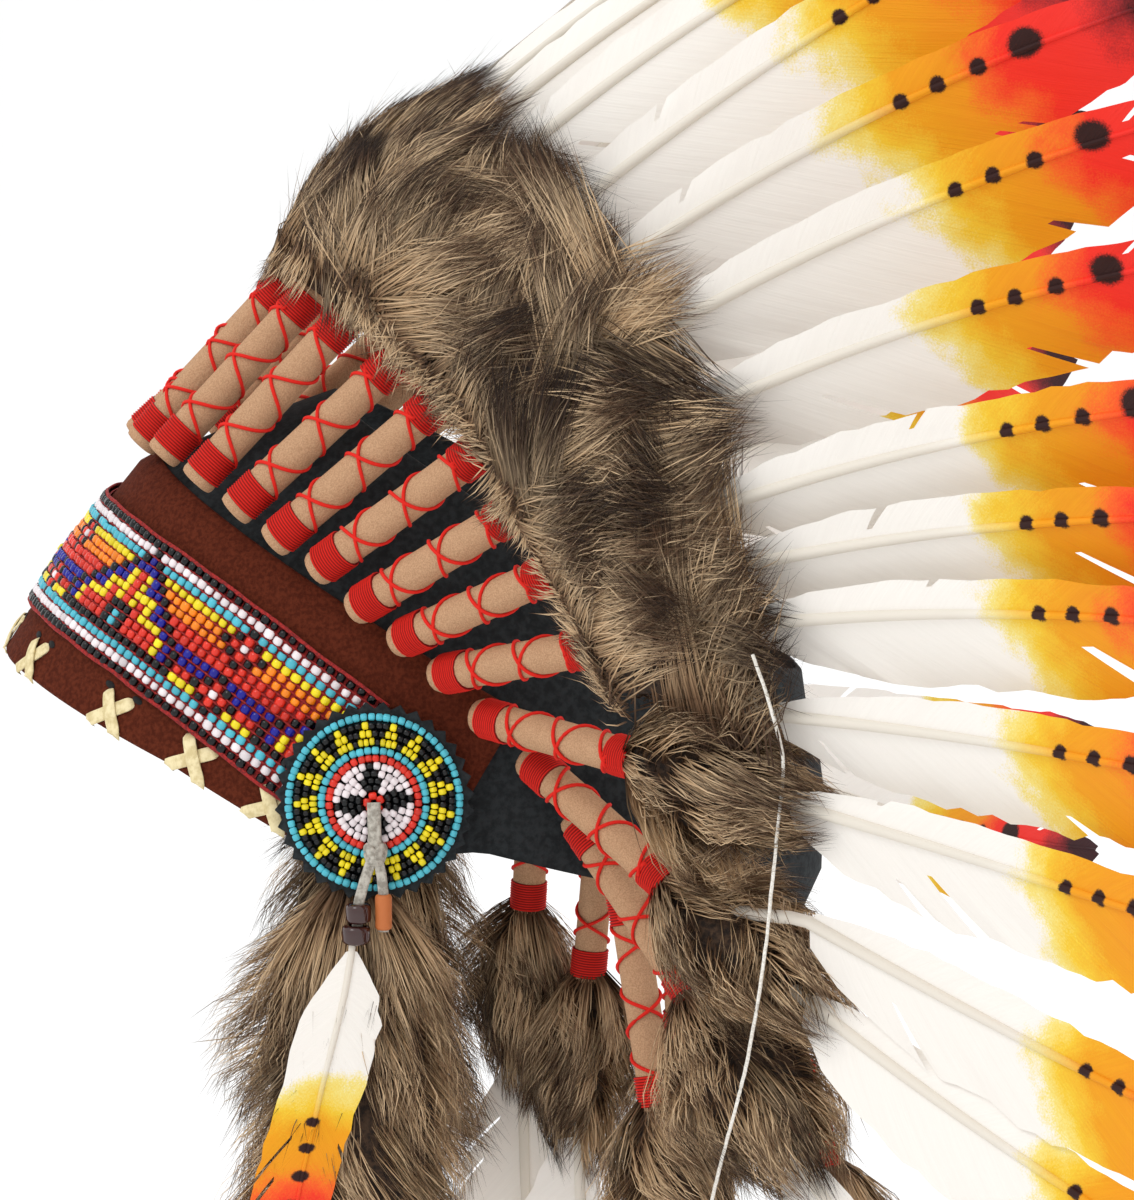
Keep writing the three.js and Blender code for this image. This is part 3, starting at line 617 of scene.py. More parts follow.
def makeCap():
    sections = []
    for angle in turnAngles(cap["angles"]):
        levels = np.concatenate([np.linspace(rimLevel(angle), cap["sideTop"], cap["sideRows"]), cap["crown"]])
        pleat = cap["pleat"] * np.sin(levels / 9 + 5 * math.sin(angle * 2)) * np.sin(angle * 7)
        outer = capPoint(angle, levels, pleat)
        inner = capPoint(angle, levels[::-1], -cap["wall"] + pleat[::-1])
        sections.append(np.concatenate([outer, inner]))
    sections = np.asarray(sections)
    count = sections.shape[1]
    faces = gridFaces(len(sections), count, closed=True)
    j = np.arange(count)
    last = (len(sections) - 1) * count      # the seam joins the last section to the first
    seam = np.stack([last + j, last + (j + 1) % count, (j + 1) % count, j], 1)
    piece = meshObject("cap_shell", toWorld(sections), [np.concatenate([faces, seam])], darkLeather)
    finishPiece(facing(piece), "dark_leather", "cap")


def browLevels(angle):
    low = rimLevel(angle) - cap["suedeHem"]
    start, end, rows = cap["suedeSide"]
    side = np.linspace(low + start, end, rows)
    return np.concatenate([low + np.array(cap["suedeFoot"]), side, cap["suedeTop"]])


def skinStrip(name, angles, levelsAt, material, slotName, node):
    sections = [skinSection(levelsAt(angle), cap["suedeInner"], cap["suedeThick"], angle) for angle in angles]
    points, faces = closedStrip(sections)
    finishPiece(facing(meshObject(name, toWorld(points), faces, material)), slotName, node)


def makeBands():
    reach = math.radians(cap["suedeReach"])
    angles = np.linspace(-reach, reach, 220)
    skinStrip("suede_band", angles, browLevels, brownSuede, "brown_suede", "brow_band")
    reach = math.radians(cap["strapReach"])
    angles = np.linspace(math.pi - reach, math.pi + reach, 60)
    skinStrip("back_strap_hide", angles, lambda angle: cap["strapLevels"], darkLeather, "dark_leather",
              "back_strap")


makeCap()
makeBands()
print("cap and bands made")

# A quill is a felt wrap, its yarn and a feather; lengths run up from the foot of the wrap
wrap = {
    "sides": 16,
    "profile": [                    # along and radius of the felt, from its rolled foot to its top
        (0.3, 1.2), (0.0, 2.4), (0.0, 3.6), (0.25, 4.3), (1.2, 4.65), (3, 4.6), (10, 4.55), (20, 4.6),
        (30, 4.6), (40, 4.55), (50, 4.6), (55, 4.6), (57.2, 4.3), (58, 3.6), (58.6, 1.8),
    ],
    "ends": (0.8, 58.6),
    "oval": 0.02,
    "bandStarts": (2.6, 48.6),
    "bandTurns": 11,
    "bandPitch": 0.72,
    "bandRadius": 4.82,
    "bandRelief": 0.42,
    "bandSunk": 4.2,                # radius of the bands' ends, inside the felt
    "bandSides": 18,
    "bandUneven": 0.03,
    "crossThick": 0.95,
    "crossRise": 4.85,
    "crossOver": 0.25,              # how far one strand lifts over the other
    "crossPitch": 16.5,             # between crosses along the wrap
    "crossRange": (8.0, 50.0),
    "crossSway": 0.35,
    "crossPoints": 64,
    # the crossing strands' place on the ridge mask, high enough to keep them out of the painted groove shade
    "crossShade": 0.85,
}

feather = {
    "edge": [                       # along, leading web, trailing web
        (108, 3.0, 6.0), (118, 5.2, 11.5), (128, 6.6, 15.5), (152, 8.2, 19.7), (180, 8.4, 20.8),
        (205, 8.2, 21.0), (228, 7.6, 19.2), (246, 6.8, 16.5), (258, 5.6, 12.6), (268, 4.2, 8.6),
        (274, 2.9, 5.0), (279, 1.0, 1.4),
    ],
    "columns": 104,
    "steps": 5,
    "cup": 0.1,
    "splits": (1, 2),               # on the leading and trailing webs
    "shaft": [(55, 1.7), (112, 1.65), (170, 1.25), (230, 0.8), (277, 0.3)],
    "leaving": (57, 47),            # a second feather leaves its neighbour's wrap here, over this length
}
barb = {
    "uneven": (3, 0.03),            # barbs between two draws, and the share of the web's width
    "lean": (0.2, 1.0, 1.35, 1.9),  # how far a barb sweeps forward for its length, root to tip
    "leanFull": 25,                 # millimetres up to the second of these
    "curve": 0.2,
    "ripple": (7, 0.35),            # the same for its waves, in millimetres
    "rootEnd": 1.5,                 # from the last root to the tip
    "splitRange": (6, 8),           # barbs without a split at the foot and at the tip
    "splitDepth": 2,                # the fewest steps that a split leaves whole
    "splitWidth": (0.15, 0.7),
    "splitLift": (0.2, 0.9),
    "splitPull": (5.0, 6.0),        # barbs over which a split's pull and lift fade
}
shaftSides = 8


def drift(rng, count, every, strength):     # a value that wanders smoothly from barb to barb
    stops = np.arange(0, count, every)
    return np.interp(np.arange(count), stops, rng.normal(0, strength, len(stops)))


def onDyeMap(along, aside):
    return np.stack([along / dye["map"][0], aside / dye["map"][1] + dye["middle"]], 1)


def webLattice(station, column, sign, rng, look):   # one side of a feather's web, barb by barb
    count, steps = look["columns"], look["steps"]
    table = np.asarray(look["edge"], float)
    first, last = table[0, 0], table[-1, 0]
    reach = np.linspace(first, last, count)
    width = np.interp(reach, table[:, 0], table[:, column])
    width *= 1 + drift(rng, count, *barb["uneven"])
    lean = np.interp(reach, [first, first + barb["leanFull"], (first + last) / 2, last], barb["lean"])
    root = np.maximum.accumulate(reach - width * lean)
    root = np.minimum(root, last - barb["rootEnd"])
    b = np.linspace(0, 1, steps + 1)
    bow = (1 - barb["curve"]) * b + barb["curve"] * b * b
    along = root[:, None] + (reach - root)[:, None] * bow[None]
    across = width[:, None] * b[None]
    lift = drift(rng, count, *barb["ripple"])[:, None] * b[None] ** 2
    keep = np.ones((count - 1, steps), bool)
    foot, tip = barb["splitRange"]
    for cut in np.sort(rng.integers(foot, count - tip, look["splits"][column - 1])):
        depth = rng.integers(barb["splitDepth"], steps)
        beyond = np.clip((b - depth / steps) / (1 - depth / steps), 0, 1)
        opening = rng.uniform(*barb["splitWidth"])
        step = np.arange(count) - cut
        pullFade, liftFade = barb["splitPull"]
        pull = np.where(step <= 0, -np.exp(step / pullFade), np.exp(-(step - 1) / pullFade))
        along += pull[:, None] * opening * beyond[None]
        raised = np.where(step <= 0, 1, -1) * np.exp(-abs(step) / liftFade) * rng.uniform(*barb["splitLift"])
        lift += raised[:, None] * beyond[None]
        keep[cut, depth:] = False
    out = -look["cup"] * np.maximum(0, across - 2) + lift
    points = station(along.ravel(), out.ravel(), sign * across.ravel())
    faces = gridFaces(count, steps + 1).reshape(count - 1, steps, 4)[keep]
    if sign < 0:
        faces = faces[:, ::-1]
    dyeMap = onDyeMap(along.ravel(), sign * across.ravel())
    barbMap = np.stack([np.repeat(root, steps + 1) / last, np.tile(b, count) * sign * 0.5 + 0.5], 1)
    return points, faces, dyeMap, barbMap


def featherParts(station, look, rng, shaftPath):
    parts, dyes, barbs = [], [], []
    for sign, column in ((-1, 1), (1, 2)):
        points, faces, dyeMap, barbMap = webLattice(station, column, sign, rng, look)
        parts.append((points, [faces]))
        dyes.append(dyeMap)
        barbs.append(barbMap)
    at = np.linspace(look["shaft"][0][0], look["shaft"][-1][0], 40)
    radius = np.interp(at, *np.asarray(look["shaft"]).T)
    parts.append(tube(shaftPath(at), radius * mm, shaftSides))
    along = np.concatenate([np.repeat(at, shaftSides), at[[0, -1]]])
    dyes.append(onDyeMap(along, 0 * along))
    barbs.append(np.stack([along / look["shaft"][-1][0] * 0.02, 0 * along + 0.5], 1))
    return parts, np.concatenate(dyes), np.concatenate(barbs)


def featherObject(name, groups, tones, node):   # groups are parts, dye map and barb map of each feather
    points, faces = merged([part for parts, _, _ in groups for part in parts])
    piece = meshObject(name, points, faces, dyedFeather)
    addUv(piece, "dye", np.concatenate([d for _, d, _ in groups]))
    addUv(piece, "barb", np.concatenate([b for _, _, b in groups]))
    addFloat(piece, "tone", np.concatenate([np.full(len(d), t) for (_, d, _), t in zip(groups, tones)]))
    finishPiece(piece, "dyed_feather", node)


def quillStation(row, side):        # places points of a feather that stands on a quill's line
    path = quillPath(row)

    def station(along, out, trail):
        return toWorld(onPath(path, ownAlong(row, along), out, trail), side)
    return station


def makeFeathers():
    for number, (side, k) in enumerate(allQuills()):
        rng = np.random.default_rng(100 + number)
        rows = [quillRow(side, k)]
        if k in secondFeathers:
            rows.append(quillRow(side, secondFeathers[k]))
        stands = [quillStation(row, side) for row in rows]

        def shaftPath(at, station):     # a second feather's shaft starts inside the first one's wrap
            share = np.clip((at - feather["leaving"][0]) / feather["leaving"][1], 0, 1)[:, None]
            return stands[0](at, at * 0, at * 0) * (1 - share) + station(at, at * 0, at * 0) * share

        groups = [featherParts(station, feather, rng, lambda at, station=station: shaftPath(at, station))
                  for station in stands]
        name = quillName(side, k)
        featherObject(name.replace("quill", "feather"), groups, rng.uniform(-1, 1, len(rows)), name)


def ringsOnPath(path, along, radii):        # points of rings round a quill, radii a row for each ring
    turn = turnAngles(radii.shape[1])
    out, trail = radii * np.cos(turn), radii * np.sin(turn)
    return onPath(path, np.repeat(along, len(turn)), out.ravel(), trail.ravel())


def feltRoll(path, k):
    along, radius = np.asarray(wrap["profile"]).T
    radii = radius[:, None] * (1 + wrap["oval"] * np.sin(turnAngles(wrap["sides"]) * 2 + k)[None])
    ends = onPath(path, np.array(wrap["ends"]))
    return np.concatenate([ringsOnPath(path, along, radii), ends]), closedFaces(*radii.shape)


def yarnBand(path, start, rng):             # close turns of yarn, as one ridged sleeve
    ridges = np.arange(wrap["bandTurns"] * 2 + 1)
    ridged = np.concatenate([[0], ridges % 2, [0]])
    at = start + np.clip(np.arange(-1, len(ridges) + 1), 0, ridges[-1]) * wrap["bandPitch"] / 2
    radius = wrap["bandRadius"] + ridged * wrap["bandRelief"]
    radius[[0, -1]] = wrap["bandSunk"]
    wobble = rng.normal(0, wrap["bandUneven"], (len(at), 1))
    radii = np.repeat(radius[:, None] + wobble, wrap["bandSides"], 1)
    part = ringsOnPath(path, at, radii), [gridFaces(*radii.shape, closed=True)]
    # the ridge mask, 0 in the grooves and at the sunk ends, where the yarn takes its painted shade
    return part, np.repeat(ridged * 1.0, wrap["bandSides"])


def yarnStrand(path, hand, rng):            # one of the two strands that cross along the wrap
    low, high = wrap["crossRange"]
    at = np.linspace(low, high, wrap["crossPoints"])
    turn = (at - low) / wrap["crossPitch"] * 2 * math.pi
    lift = wrap["crossRise"] + wrap["crossOver"] * (hand > 0) * np.cos(turn) ** 2
    turn = hand * (turn + math.pi) + rng.uniform(-wrap["crossSway"], wrap["crossSway"])
    line = onPath(path, at, lift * np.cos(turn), lift * np.sin(turn))
    points, faces = tube(line, wrap["crossThick"] / 2, 6)
    return (points, faces), np.full(len(points), wrap["crossShade"])


def makeWraps():
    for number, (side, k) in enumerate(allQuills()):
        rng = np.random.default_rng(200 + number)
        path = quillPath(quillRow(side, k), twisted=False)
        name = quillName(side, k)
        points, faces = feltRoll(path, k)
        piece = meshObject(name.replace("quill", "wrap"), toWorld(points, side), faces, feltWrap)
        finishPiece(facing(piece), "felt_wrap")
        yarns = [yarnBand(path, start, rng) for start in wrap["bandStarts"]]
        yarns += [yarnStrand(path, hand, rng) for hand in (1, -1)]
        points, faces = merged([part for part, _ in yarns])
        yarn = meshObject(name.replace("quill", "yarn"), toWorld(points, side), faces, redYarn)
        addFloat(yarn, "raised", np.concatenate([raised for _, raised in yarns]))
        finishPiece(facing(yarn), "red_yarn")


makeFeathers()
makeWraps()
print("feathers and wraps made")


def smoothLine(points, count):      # a smooth curve through points, evenly spaced
    points = np.asarray(points, float)
    padded = np.concatenate([2 * points[:1] - points[1:2], points, 2 * points[-1:] - points[-2:-1]])
    pieces = []
    for i in range(len(points) - 1):
        a, b, c, d = padded[i:i + 4]
        t = np.linspace(0, 1, 12, endpoint=False)[:, None]      # twelve points a span
        pieces.append(0.5 * (2 * b + (c - a) * t + (2 * a - 5 * b + 4 * c - d) * t ** 2
                             + (3 * b - a - 3 * c + d) * t ** 3))
    line = np.concatenate(pieces + [points[-1:]])
    lengths = np.concatenate([[0], np.cumsum(np.linalg.norm(np.diff(line, axis=0), axis=1))])
    at = np.linspace(0, lengths[-1], count)
    return np.stack([np.interp(at, lengths, line[:, i]) for i in range(3)], 1)


# Fur is a dark body in painted shade, with locks of tapered hairs
hair = {
    "segments": 3,
    "width": 0.46,                  # millimetres at the root
    "widths": (0.6, 1.2),           # shares of it
    "taper": 0.6,
    "frizz": 0.45,
    "roll": 0.9,
    "tones": (0.19, 0.12, 0.16),    # spread of the tone from clump to clump, lock to lock, hair to hair
    "wave": (0.085, 1.7),           # how fast the whirl turns along and across the fur
    "lockReach": (0.85, 1.15),
    "lockLift": (0.92, 1.08),
    "lockSway": 0.4,
}
tiny = 1e-9


def hairRibbons(root, middle, tip, width, outward, rng):    # one tapered ribbon for each hair
    steps = hair["segments"]
    t = np.linspace(0, 1, steps + 1)[None, :, None]
    frizz = rng.normal(0, hair["frizz"], (len(root), steps + 1, 3)) * t
    root, middle, tip = root[:, None], middle[:, None], tip[:, None]
    line = root * (1 - t) ** 2 + 2 * middle * t * (1 - t) + tip * t * t + frizz
    way = unit(2 * (middle - root) * (1 - t) + 2 * (tip - middle) * t, tiny)
    flat = unit(np.cross(way, outward[:, None]), tiny)
    rise = np.cross(flat, way)
    roll = rng.uniform(-hair["roll"], hair["roll"], len(root))[:, None, None]
    flat = flat * np.cos(roll) + rise * np.sin(roll)
    half = width[:, None, None] / 2 * (1 - t[:, :-1]) ** hair["taper"]
    left = line[:, :-1] - flat[:, :-1] * half
    right = line[:, :-1] + flat[:, :-1] * half
    pairs = np.stack([left, right], 2).reshape(len(line), steps * 2, 3)
    points = np.concatenate([pairs, line[:, -1:]], 1)
    size = steps * 2 + 1
    first = (np.arange(len(line)) * size)[:, None, None]
    quad = np.array([[2 * i, 2 * i + 1, 2 * i + 3, 2 * i + 2] for i in range(steps - 1)])
    last = np.array([[2 * steps - 2, 2 * steps - 1, 2 * steps]])
    place = np.concatenate([np.repeat(t[0, :-1, 0], 2), [1.0]])
    return (points.reshape(-1, 3), [(first + quad).reshape(-1, 4), (first + last).reshape(-1, 3)],
            np.tile(place, len(line)), size)


def sow(rng, count, lowU, highU, lowV, highV):      # evenly scattered places
    order = np.arange(count)        # steps of the golden ratio keep neighbours apart
    u = lowU + (highU - lowU) * (order + rng.uniform(0, 1, count)) / count
    v = lowV + (highV - lowV) * ((order * 0.618034 + rng.normal(0, 0.02, count)) % 1)
    return u, v


# shell gives points for distances u along the fur, places v across it and a share of its depth
def growLocks(name, shell, lockU, lockV, rng, look, toMetres):
    locks, perLock = len(lockU), look["perLock"]
    each = locks * perLock

    def spread(values):
        return np.repeat(values, perLock)

    heads = rng.choice(locks, max(2, locks // look["perClump"]), replace=False)
    apart = ((lockU[:, None] - lockU[heads]) ** 2 + ((lockV[:, None] - lockV[heads]) * look["span"]) ** 2)
    clump = np.argmin(apart, 1)
    headU, headV = lockU[heads][clump], lockV[heads][clump]
    reach = rng.uniform(*look["reach"], len(heads))[clump] * rng.uniform(*hair["lockReach"], locks)
    turn = look["whirl"] * np.sin(hair["wave"][0] * headU + hair["wave"][1] * headV + look["phase"])
    turn = turn + rng.normal(0, look["sway"], len(heads))[clump]
    turn = turn + rng.normal(0, look["sway"] * hair["lockSway"], locks)
    lift = rng.uniform(*look["lift"], len(heads))[clump] * rng.uniform(*hair["lockLift"], locks)
    clumpTone, lockTone, hairTone = hair["tones"]
    tone = rng.normal(look["shade"], clumpTone, len(heads))[clump] + rng.normal(0, lockTone, locks)
    pull = look["pull"]
    tipU = lockU * (1 - pull) + headU * pull + reach * np.cos(turn) * 0.5
    tipV = lockV * (1 - pull) + headV * pull + reach * np.sin(turn) / look["span"] * 0.5
    rootU = lockU - reach * np.cos(turn) * 0.5
    rootV = lockV - reach * np.sin(turn) / look["span"] * 0.5
    bunch = rng.normal(0, 1, (2, each))
    tipU = spread(tipU) + bunch[0] * look["tipSpread"] + rng.uniform(-1, 1, each) * look["uneven"]
    tipV = spread(tipV) + bunch[1] * look["tipSpread"] / look["span"]
    rootU = spread(rootU) + bunch[0] * look["rootSpread"]
    rootV = spread(rootV) + bunch[1] * look["rootSpread"] / look["span"]
    rootU = np.maximum(rootU, look["foot"])
    tipU = np.minimum(tipU, look["end"])
    bend = spread(rng.normal(0, look["bend"], locks)) / look["span"]
    lift = spread(lift)
    root = shell(rootU, rootV, rng.uniform(*look["rootDepth"], each))
    middle = shell(rootU + (tipU - rootU) * 0.45, rootV * 0.6 + tipV * 0.4 + bend, lift * 1.04)
    tip = shell(tipU, tipV, lift * rng.uniform(*look["tipDepth"], each))
    tip = tip + rng.normal(0, look["stray"], (each, 3)) * rng.uniform(0, 1, (each, 1)) ** 2
    outward = unit(shell(tipU, tipV, lift * 1.3) - shell(tipU, tipV, lift * 0.7), tiny)
    width = rng.uniform(*hair["widths"], each) * hair["width"]
    points, faces, place, size = hairRibbons(root, middle, tip, width, outward, rng)
    piece = meshObject(name, toMetres(points), faces, brownFur)
    addFloat(piece, "hair", place)
    addFloat(piece, "tone", np.repeat(spread(tone) + rng.normal(0, hairTone, each), size))
    finishPiece(piece, "brown_fur")


ruffPlaces = np.arange(-9.8, 9.81, 0.1)     # in quills, from the wearer's right to the left
ruffAlongs = np.arange(46.0, 141.0, 3.0)


def ruffStations(name):             # the quills' points or axes on a lattice of places, without the twist
    lattice = []
    for place in ruffPlaces:
        row = quillRow(1, abs(place))
        values = pathAt(quillPath(row, twisted=False), name, ownAlong(row, ruffAlongs))
        lattice.append(values * (math.copysign(1, place), 1, 1))
    return np.asarray(lattice)


ruffPoints, ruffOut = ruffStations("point"), ruffStations("out")


def ruffAt(values, u, v):           # linear lookup in such a lattice
    i = np.clip((v - ruffPlaces[0]) / (ruffPlaces[1] - ruffPlaces[0]), 0, len(ruffPlaces) - 1.001)
    j = np.clip((u - ruffAlongs[0]) / (ruffAlongs[1] - ruffAlongs[0]), 0, len(ruffAlongs) - 1.001)
    i0, j0 = i.astype(int), j.astype(int)
    fi, fj = (i - i0)[:, None], (j - j0)[:, None]
    return ((values[i0, j0] * (1 - fj) + values[i0, j0 + 1] * fj) * (1 - fi)
            + (values[i0 + 1, j0] * (1 - fj) + values[i0 + 1, j0 + 1] * fj) * fi)


ruff = {
    "reach": 9.35,
    "seat": 5.8,
    "outline": [(56, 5.9), (59.5, 9), (64, 12.5), (71, 17), (94, 18), (106, 15), (119, 10), (134, 5)],
    "locks": 430,
    "lockRange": (66, 117),
    "fringe": 90,
    "fringeRange": (57, 61),
    "inner": 107,
    "innerRange": (78, 114),
    "innerOut": (5.0, 3.0),         # the crown side's distance out, and how much its depth takes off
    "overMiddle": -0.05,            # locks of each side start this far past the middle
    "under": 0.68,                  # size of the undercoat body against the fur
    "coat": [                       # along and depth round the undercoat, up the face and down the crown side
        (57.5, 0.3), (59.5, 0.9), (64, 1), (74, 1), (84, 0.95), (94, 0.8), (102, 0.5), (105, 0.1),
        (102, -0.2), (94, -0.3), (84, -0.3), (70, -0.3), (60, -0.2),
    ],
}


def ruffDepth(k):                   # flatter over the brow, lobed, and thin at its two ends
    lobes = 1 + 0.12 * np.sin(k * 2.7 + 0.6)
    edge = np.clip((ruff["reach"] - np.abs(k)) * 2 + 0.4, 0.15, 1)
    return np.interp(np.abs(k), [0, 5], [0.7, 1]) * lobes * edge


def ruffShell(u, v, depth):         # u along the quills, v in quills round the crown
    lump = 1 + 0.14 * np.sin(1.9 * v + 0.08 * u) * np.sin(0.13 * u - 1.1 * v)
    proud = np.interp(u, *np.asarray(ruff["outline"], float).T) - ruff["seat"]
    out = ruff["seat"] + proud * ruffDepth(v) * depth * lump
    return ruffAt(ruffPoints, u, v) + ruffAt(ruffOut, u, v) * out[:, None]


def ruffInner(u, v, depth):         # the side towards the crown, between the shafts
    out = ruff["innerOut"][0] - ruff["innerOut"][1] * depth
    return ruffAt(ruffPoints, u, v) + ruffAt(ruffOut, u, v) * out[:, None]


ruffLook = {
    "perLock": 48,
    "perClump": 5,
    "span": 14.0,                   # millimetres for one step across
    "reach": (26, 40),
    "whirl": 0.55,
    "phase": 0.4,
    "sway": 0.3,
    "pull": 0.45,
    "tipSpread": 1.1,
    "uneven": 4.2,
    "rootSpread": 3.6,
    "rootDepth": (0.1, 0.45),
    "lift": (0.72, 1.3),
    "tipDepth": (0.8, 1.1),
    "stray": 3.0,
    "bend": 3.0,
    "foot": 57.5,
    "end": 136,
    "shade": 0.52,
}
innerLook = dict(ruffLook, reach=(20, 32), lift=(0.8, 1.1), foot=62)
fringeLook = dict(ruffLook, perLock=24, perClump=2, reach=(-15, -7), whirl=0.4, rootSpread=1.6,
                  tipSpread=1.5, rootDepth=(0.5, 1.0), lift=(0.85, 1.15), foot=0, stray=2.0, uneven=2.6,
                  shade=0.68)


def makeCrownFur():
    rng = np.random.default_rng(31)
    k = np.linspace(-ruff["reach"], ruff["reach"], 150)
    body = [ruffShell(np.full(len(k), float(at)), k, np.full(len(k), depth * ruff["under"]))
            for at, depth in ruff["coat"]]
    points, faces = closedStrip(np.asarray(body).transpose(1, 0, 2))
    coat = meshObject("crown_undercoat", toWorld(points), faces, undercoatShade)
    finishPiece(facing(coat), "brown_fur", "crown_fur")
    for side, name in sides.items():
        start, end = ruff["overMiddle"] * side * ruff["reach"], side * ruff["reach"]
        u, v = sow(rng, ruff["locks"], *ruff["lockRange"], start, end)
        growLocks(f"crown_fur_{name}", ruffShell, u, v, rng, ruffLook, toWorld)
        for kind, shell, look in (("fringe", ruffShell, fringeLook), ("inner", ruffInner, innerLook)):
            v = rng.uniform(ruff["overMiddle"], 1, ruff[kind]) * end
            u = rng.uniform(*ruff[f"{kind}Range"], ruff[kind])
            label = "crown_fringe" if kind == "fringe" else "crown_fur_inner"
            growLocks(f"{label}_{name}", shell, u, v, rng, look, toWorld)


coatSides = 20                      # of an undercoat body
tuft = {
    "outline": [                    # along and radius
        (52, 5.0), (56, 6.5), (60, 11), (66, 15), (74, 17), (90, 17), (102, 12.5), (108, 9), (122, 4),
    ],
    "coat": [(56, 0.3), (57, 0.7), (60, 1), (68, 1), (80, 1), (90, 0.95), (98, 0.7), (102, 0.3)],
    "under": 0.6,
    "out": 0.85,
    "trail": 1.12,
    "locks": 78,
    "lockRange": (62, 111),
    "pieces": [                     # node, side, its quills, width
        ("fur_left_10", 1, (10,), 1.0),
        ("fur_left_11", 1, (11,), 0.92),
        ("fur_left_12", 1, (12,), 1.2),
        ("fur_left_13", 1, (13,), 0.95),
        ("fur_left_14", 1, (14,), 0.95),
        ("fur_right_10", -1, (10,), 1.0),
        ("fur_right_11", -1, (11,), 0.92),
        ("fur_right_trail", -1, (12, 13, 14), 0.85),
    ],
}
tuftLook = dict(ruffLook, perLock=44, perClump=4, span=15.0, reach=(20, 32), whirl=0.4, sway=0.28, foot=52,
                lift=(0.9, 1.35), end=124, shade=0.74, pull=0.35)


def tuftShell(row, wide):
    path = quillPath(row, twisted=False)

    def shell(u, v, depth):         # u along the quill, v the angle round it
        radius = np.interp(u, *np.asarray(tuft["outline"], float).T) * wide * depth
        radius = radius * (1 + 0.12 * np.sin(3 * v + row["along"]))
        out, trail = radius * tuft["out"] * np.cos(v), radius * tuft["trail"] * np.sin(v)
        return onPath(path, ownAlong(row, u), out, trail)
    return shell


def coatBody(shell, stops):         # a dark body in painted shade under the hair, through (distance, depth) stops of a round shell
    return closedStrip([shell(np.full(coatSides, u), turnAngles(coatSides), np.full(coatSides, depth))
                        for u, depth in stops])


def makeTufts():
    for number, (node, side, quills, wide) in enumerate(tuft["pieces"]):
        rng = np.random.default_rng(50 + number)
        bodies = []
        for k in quills:
            shell = tuftShell(quillRow(side, k), wide)
            bodies.append(coatBody(shell, [(u, tuft["under"] * share) for u, share in tuft["coat"]]))
            name = node.replace("fur", "tuft_hair") + (f"_{k}" if len(quills) > 1 else "")
            u, v = sow(rng, tuft["locks"], *tuft["lockRange"], 0, 2 * math.pi)
            growLocks(name, shell, u, v, rng, dict(tuftLook, phase=k * 1.3), lambda p, s=side: toWorld(p, s))
        points, faces = merged(bodies)
        coat = meshObject(node.replace("fur", "tuft_undercoat"), toWorld(points, side), faces, undercoatShade)
        finishPiece(facing(coat), "brown_fur", node)


trailThong = {
    "quills": (11, 12, 13, 14),
    "along": 2.0,                   # where it touches the wraps
    "out": -5.6,
    "sag": 2.5,
    "radius": 1.3,
    "points": 60,
}


def makeTrailThong():               # carries the last quills, from foot to foot below the cap
    for side, name in sides.items():
        stops = []
        for k in trailThong["quills"]:
            path = quillPath(quillRow(side, k), twisted=False)
            stop = onPath(path, np.array([trailThong["along"]]), trailThong["out"])
            stops.append(toWorld(stop, side)[0] / mm)
        line = smoothLine(stops, trailThong["points"])
        spans = np.linspace(0, (len(stops) - 1) * math.pi, len(line))
        line[:, 2] -= trailThong["sag"] * np.sin(spans) ** 2
        points, faces = tube(line, trailThong["radius"], 8)
        finishPiece(facing(meshObject(f"trail_thong_{name}", points * mm, faces, greySuede)), "grey_suede")


makeCrownFur()
makeTufts()
makeTrailThong()
print("crown fur and tufts made")

# Lacing round the hem of the suede
lacing = {
    "angles": (0, 21, 44, 59.5, 72.5),     # middles of the crosses, in degrees round from the front
    "rise": 9.5,                    # holes above the hem
    "half": 4.7,                    # half the distance between the two holes
    "past": 1.08,                   # how far a strap runs on under the hem, against the visible length
    "width": 3.5,
    "thick": 0.7,
    "out": 2.45,
    "under": 1.2,                   # its distance from the cap once it is under the hem
    "cross": 0.75,                  # how far the upper strap lifts over the lower
    "section": [(-1, 0.5), (-0.9, 0.9), (0, 1), (0.9, 0.9), (1, 0.5), (1, -0.5), (0, -0.6), (-1, -0.5)],
    "points": 16,
    "hole": (1.65, 0.88),           # half width and half height
    "holeOut": 2.1,
    "holeRise": 0.9,                # above the strap's upper end
    "holeAside": 1.12,
}
perDegree = ring["halfLength"] * 0.0165     # millimetres round the front for a degree

looseThread = {
    "route": [                      # from the crown fur down over the tufts
        (166, 73.5, 46.5), (163, 77.4, 35), (160, 80.8, 21), (162, 79.8, 7), (155, 78.8, -9),
        (152, 77.4, -26.5), (153, 75.5, -40.5), (140, 73.2, -58.5), (133, 69.9, -75),
        (118, 66.8, -94), (104, 63.5, -113.5), (98, 60, -135),
    ],
    "radius": 0.45,
    "points": 160,
    "drift": 0.03,
}


def hemStrap(middle, hand, over):   # one strap of a cross: from its hole down and under the hem
    t = np.linspace(0, 1, lacing["points"])
    slide = hand * lacing["half"] * (1 - 2 * np.clip(t * lacing["past"], 0, 1))
    angle = np.radians(middle + slide / perDegree)
    low = rimLevel(angle) - cap["suedeHem"]
    level = low + lacing["rise"] * (1 - t * lacing["past"])
    rest = lacing["out"] + over * np.sin(math.pi * np.clip(t * 1.25, 0, 1)) * lacing["cross"]
    out = np.where(t < 0.06, lacing["out"] - lacing["thick"], rest)     # it starts down in its hole
    out = np.where(level < low - 0.2, lacing["under"], out)
    centre = capPoint(angle, level, out)
    face = ringOut(angle)
    across = unit(np.cross(pathWay(centre), face))
    width = lacing["width"] * np.interp(t, [0, 0.08, 1], [0.55, 1, 1]) / 2
    sections = [centre + across * (width * w)[:, None] + face * h * lacing["thick"] / 2
                for w, h in lacing["section"]]
    return closedStrip(np.stack(sections, 1))


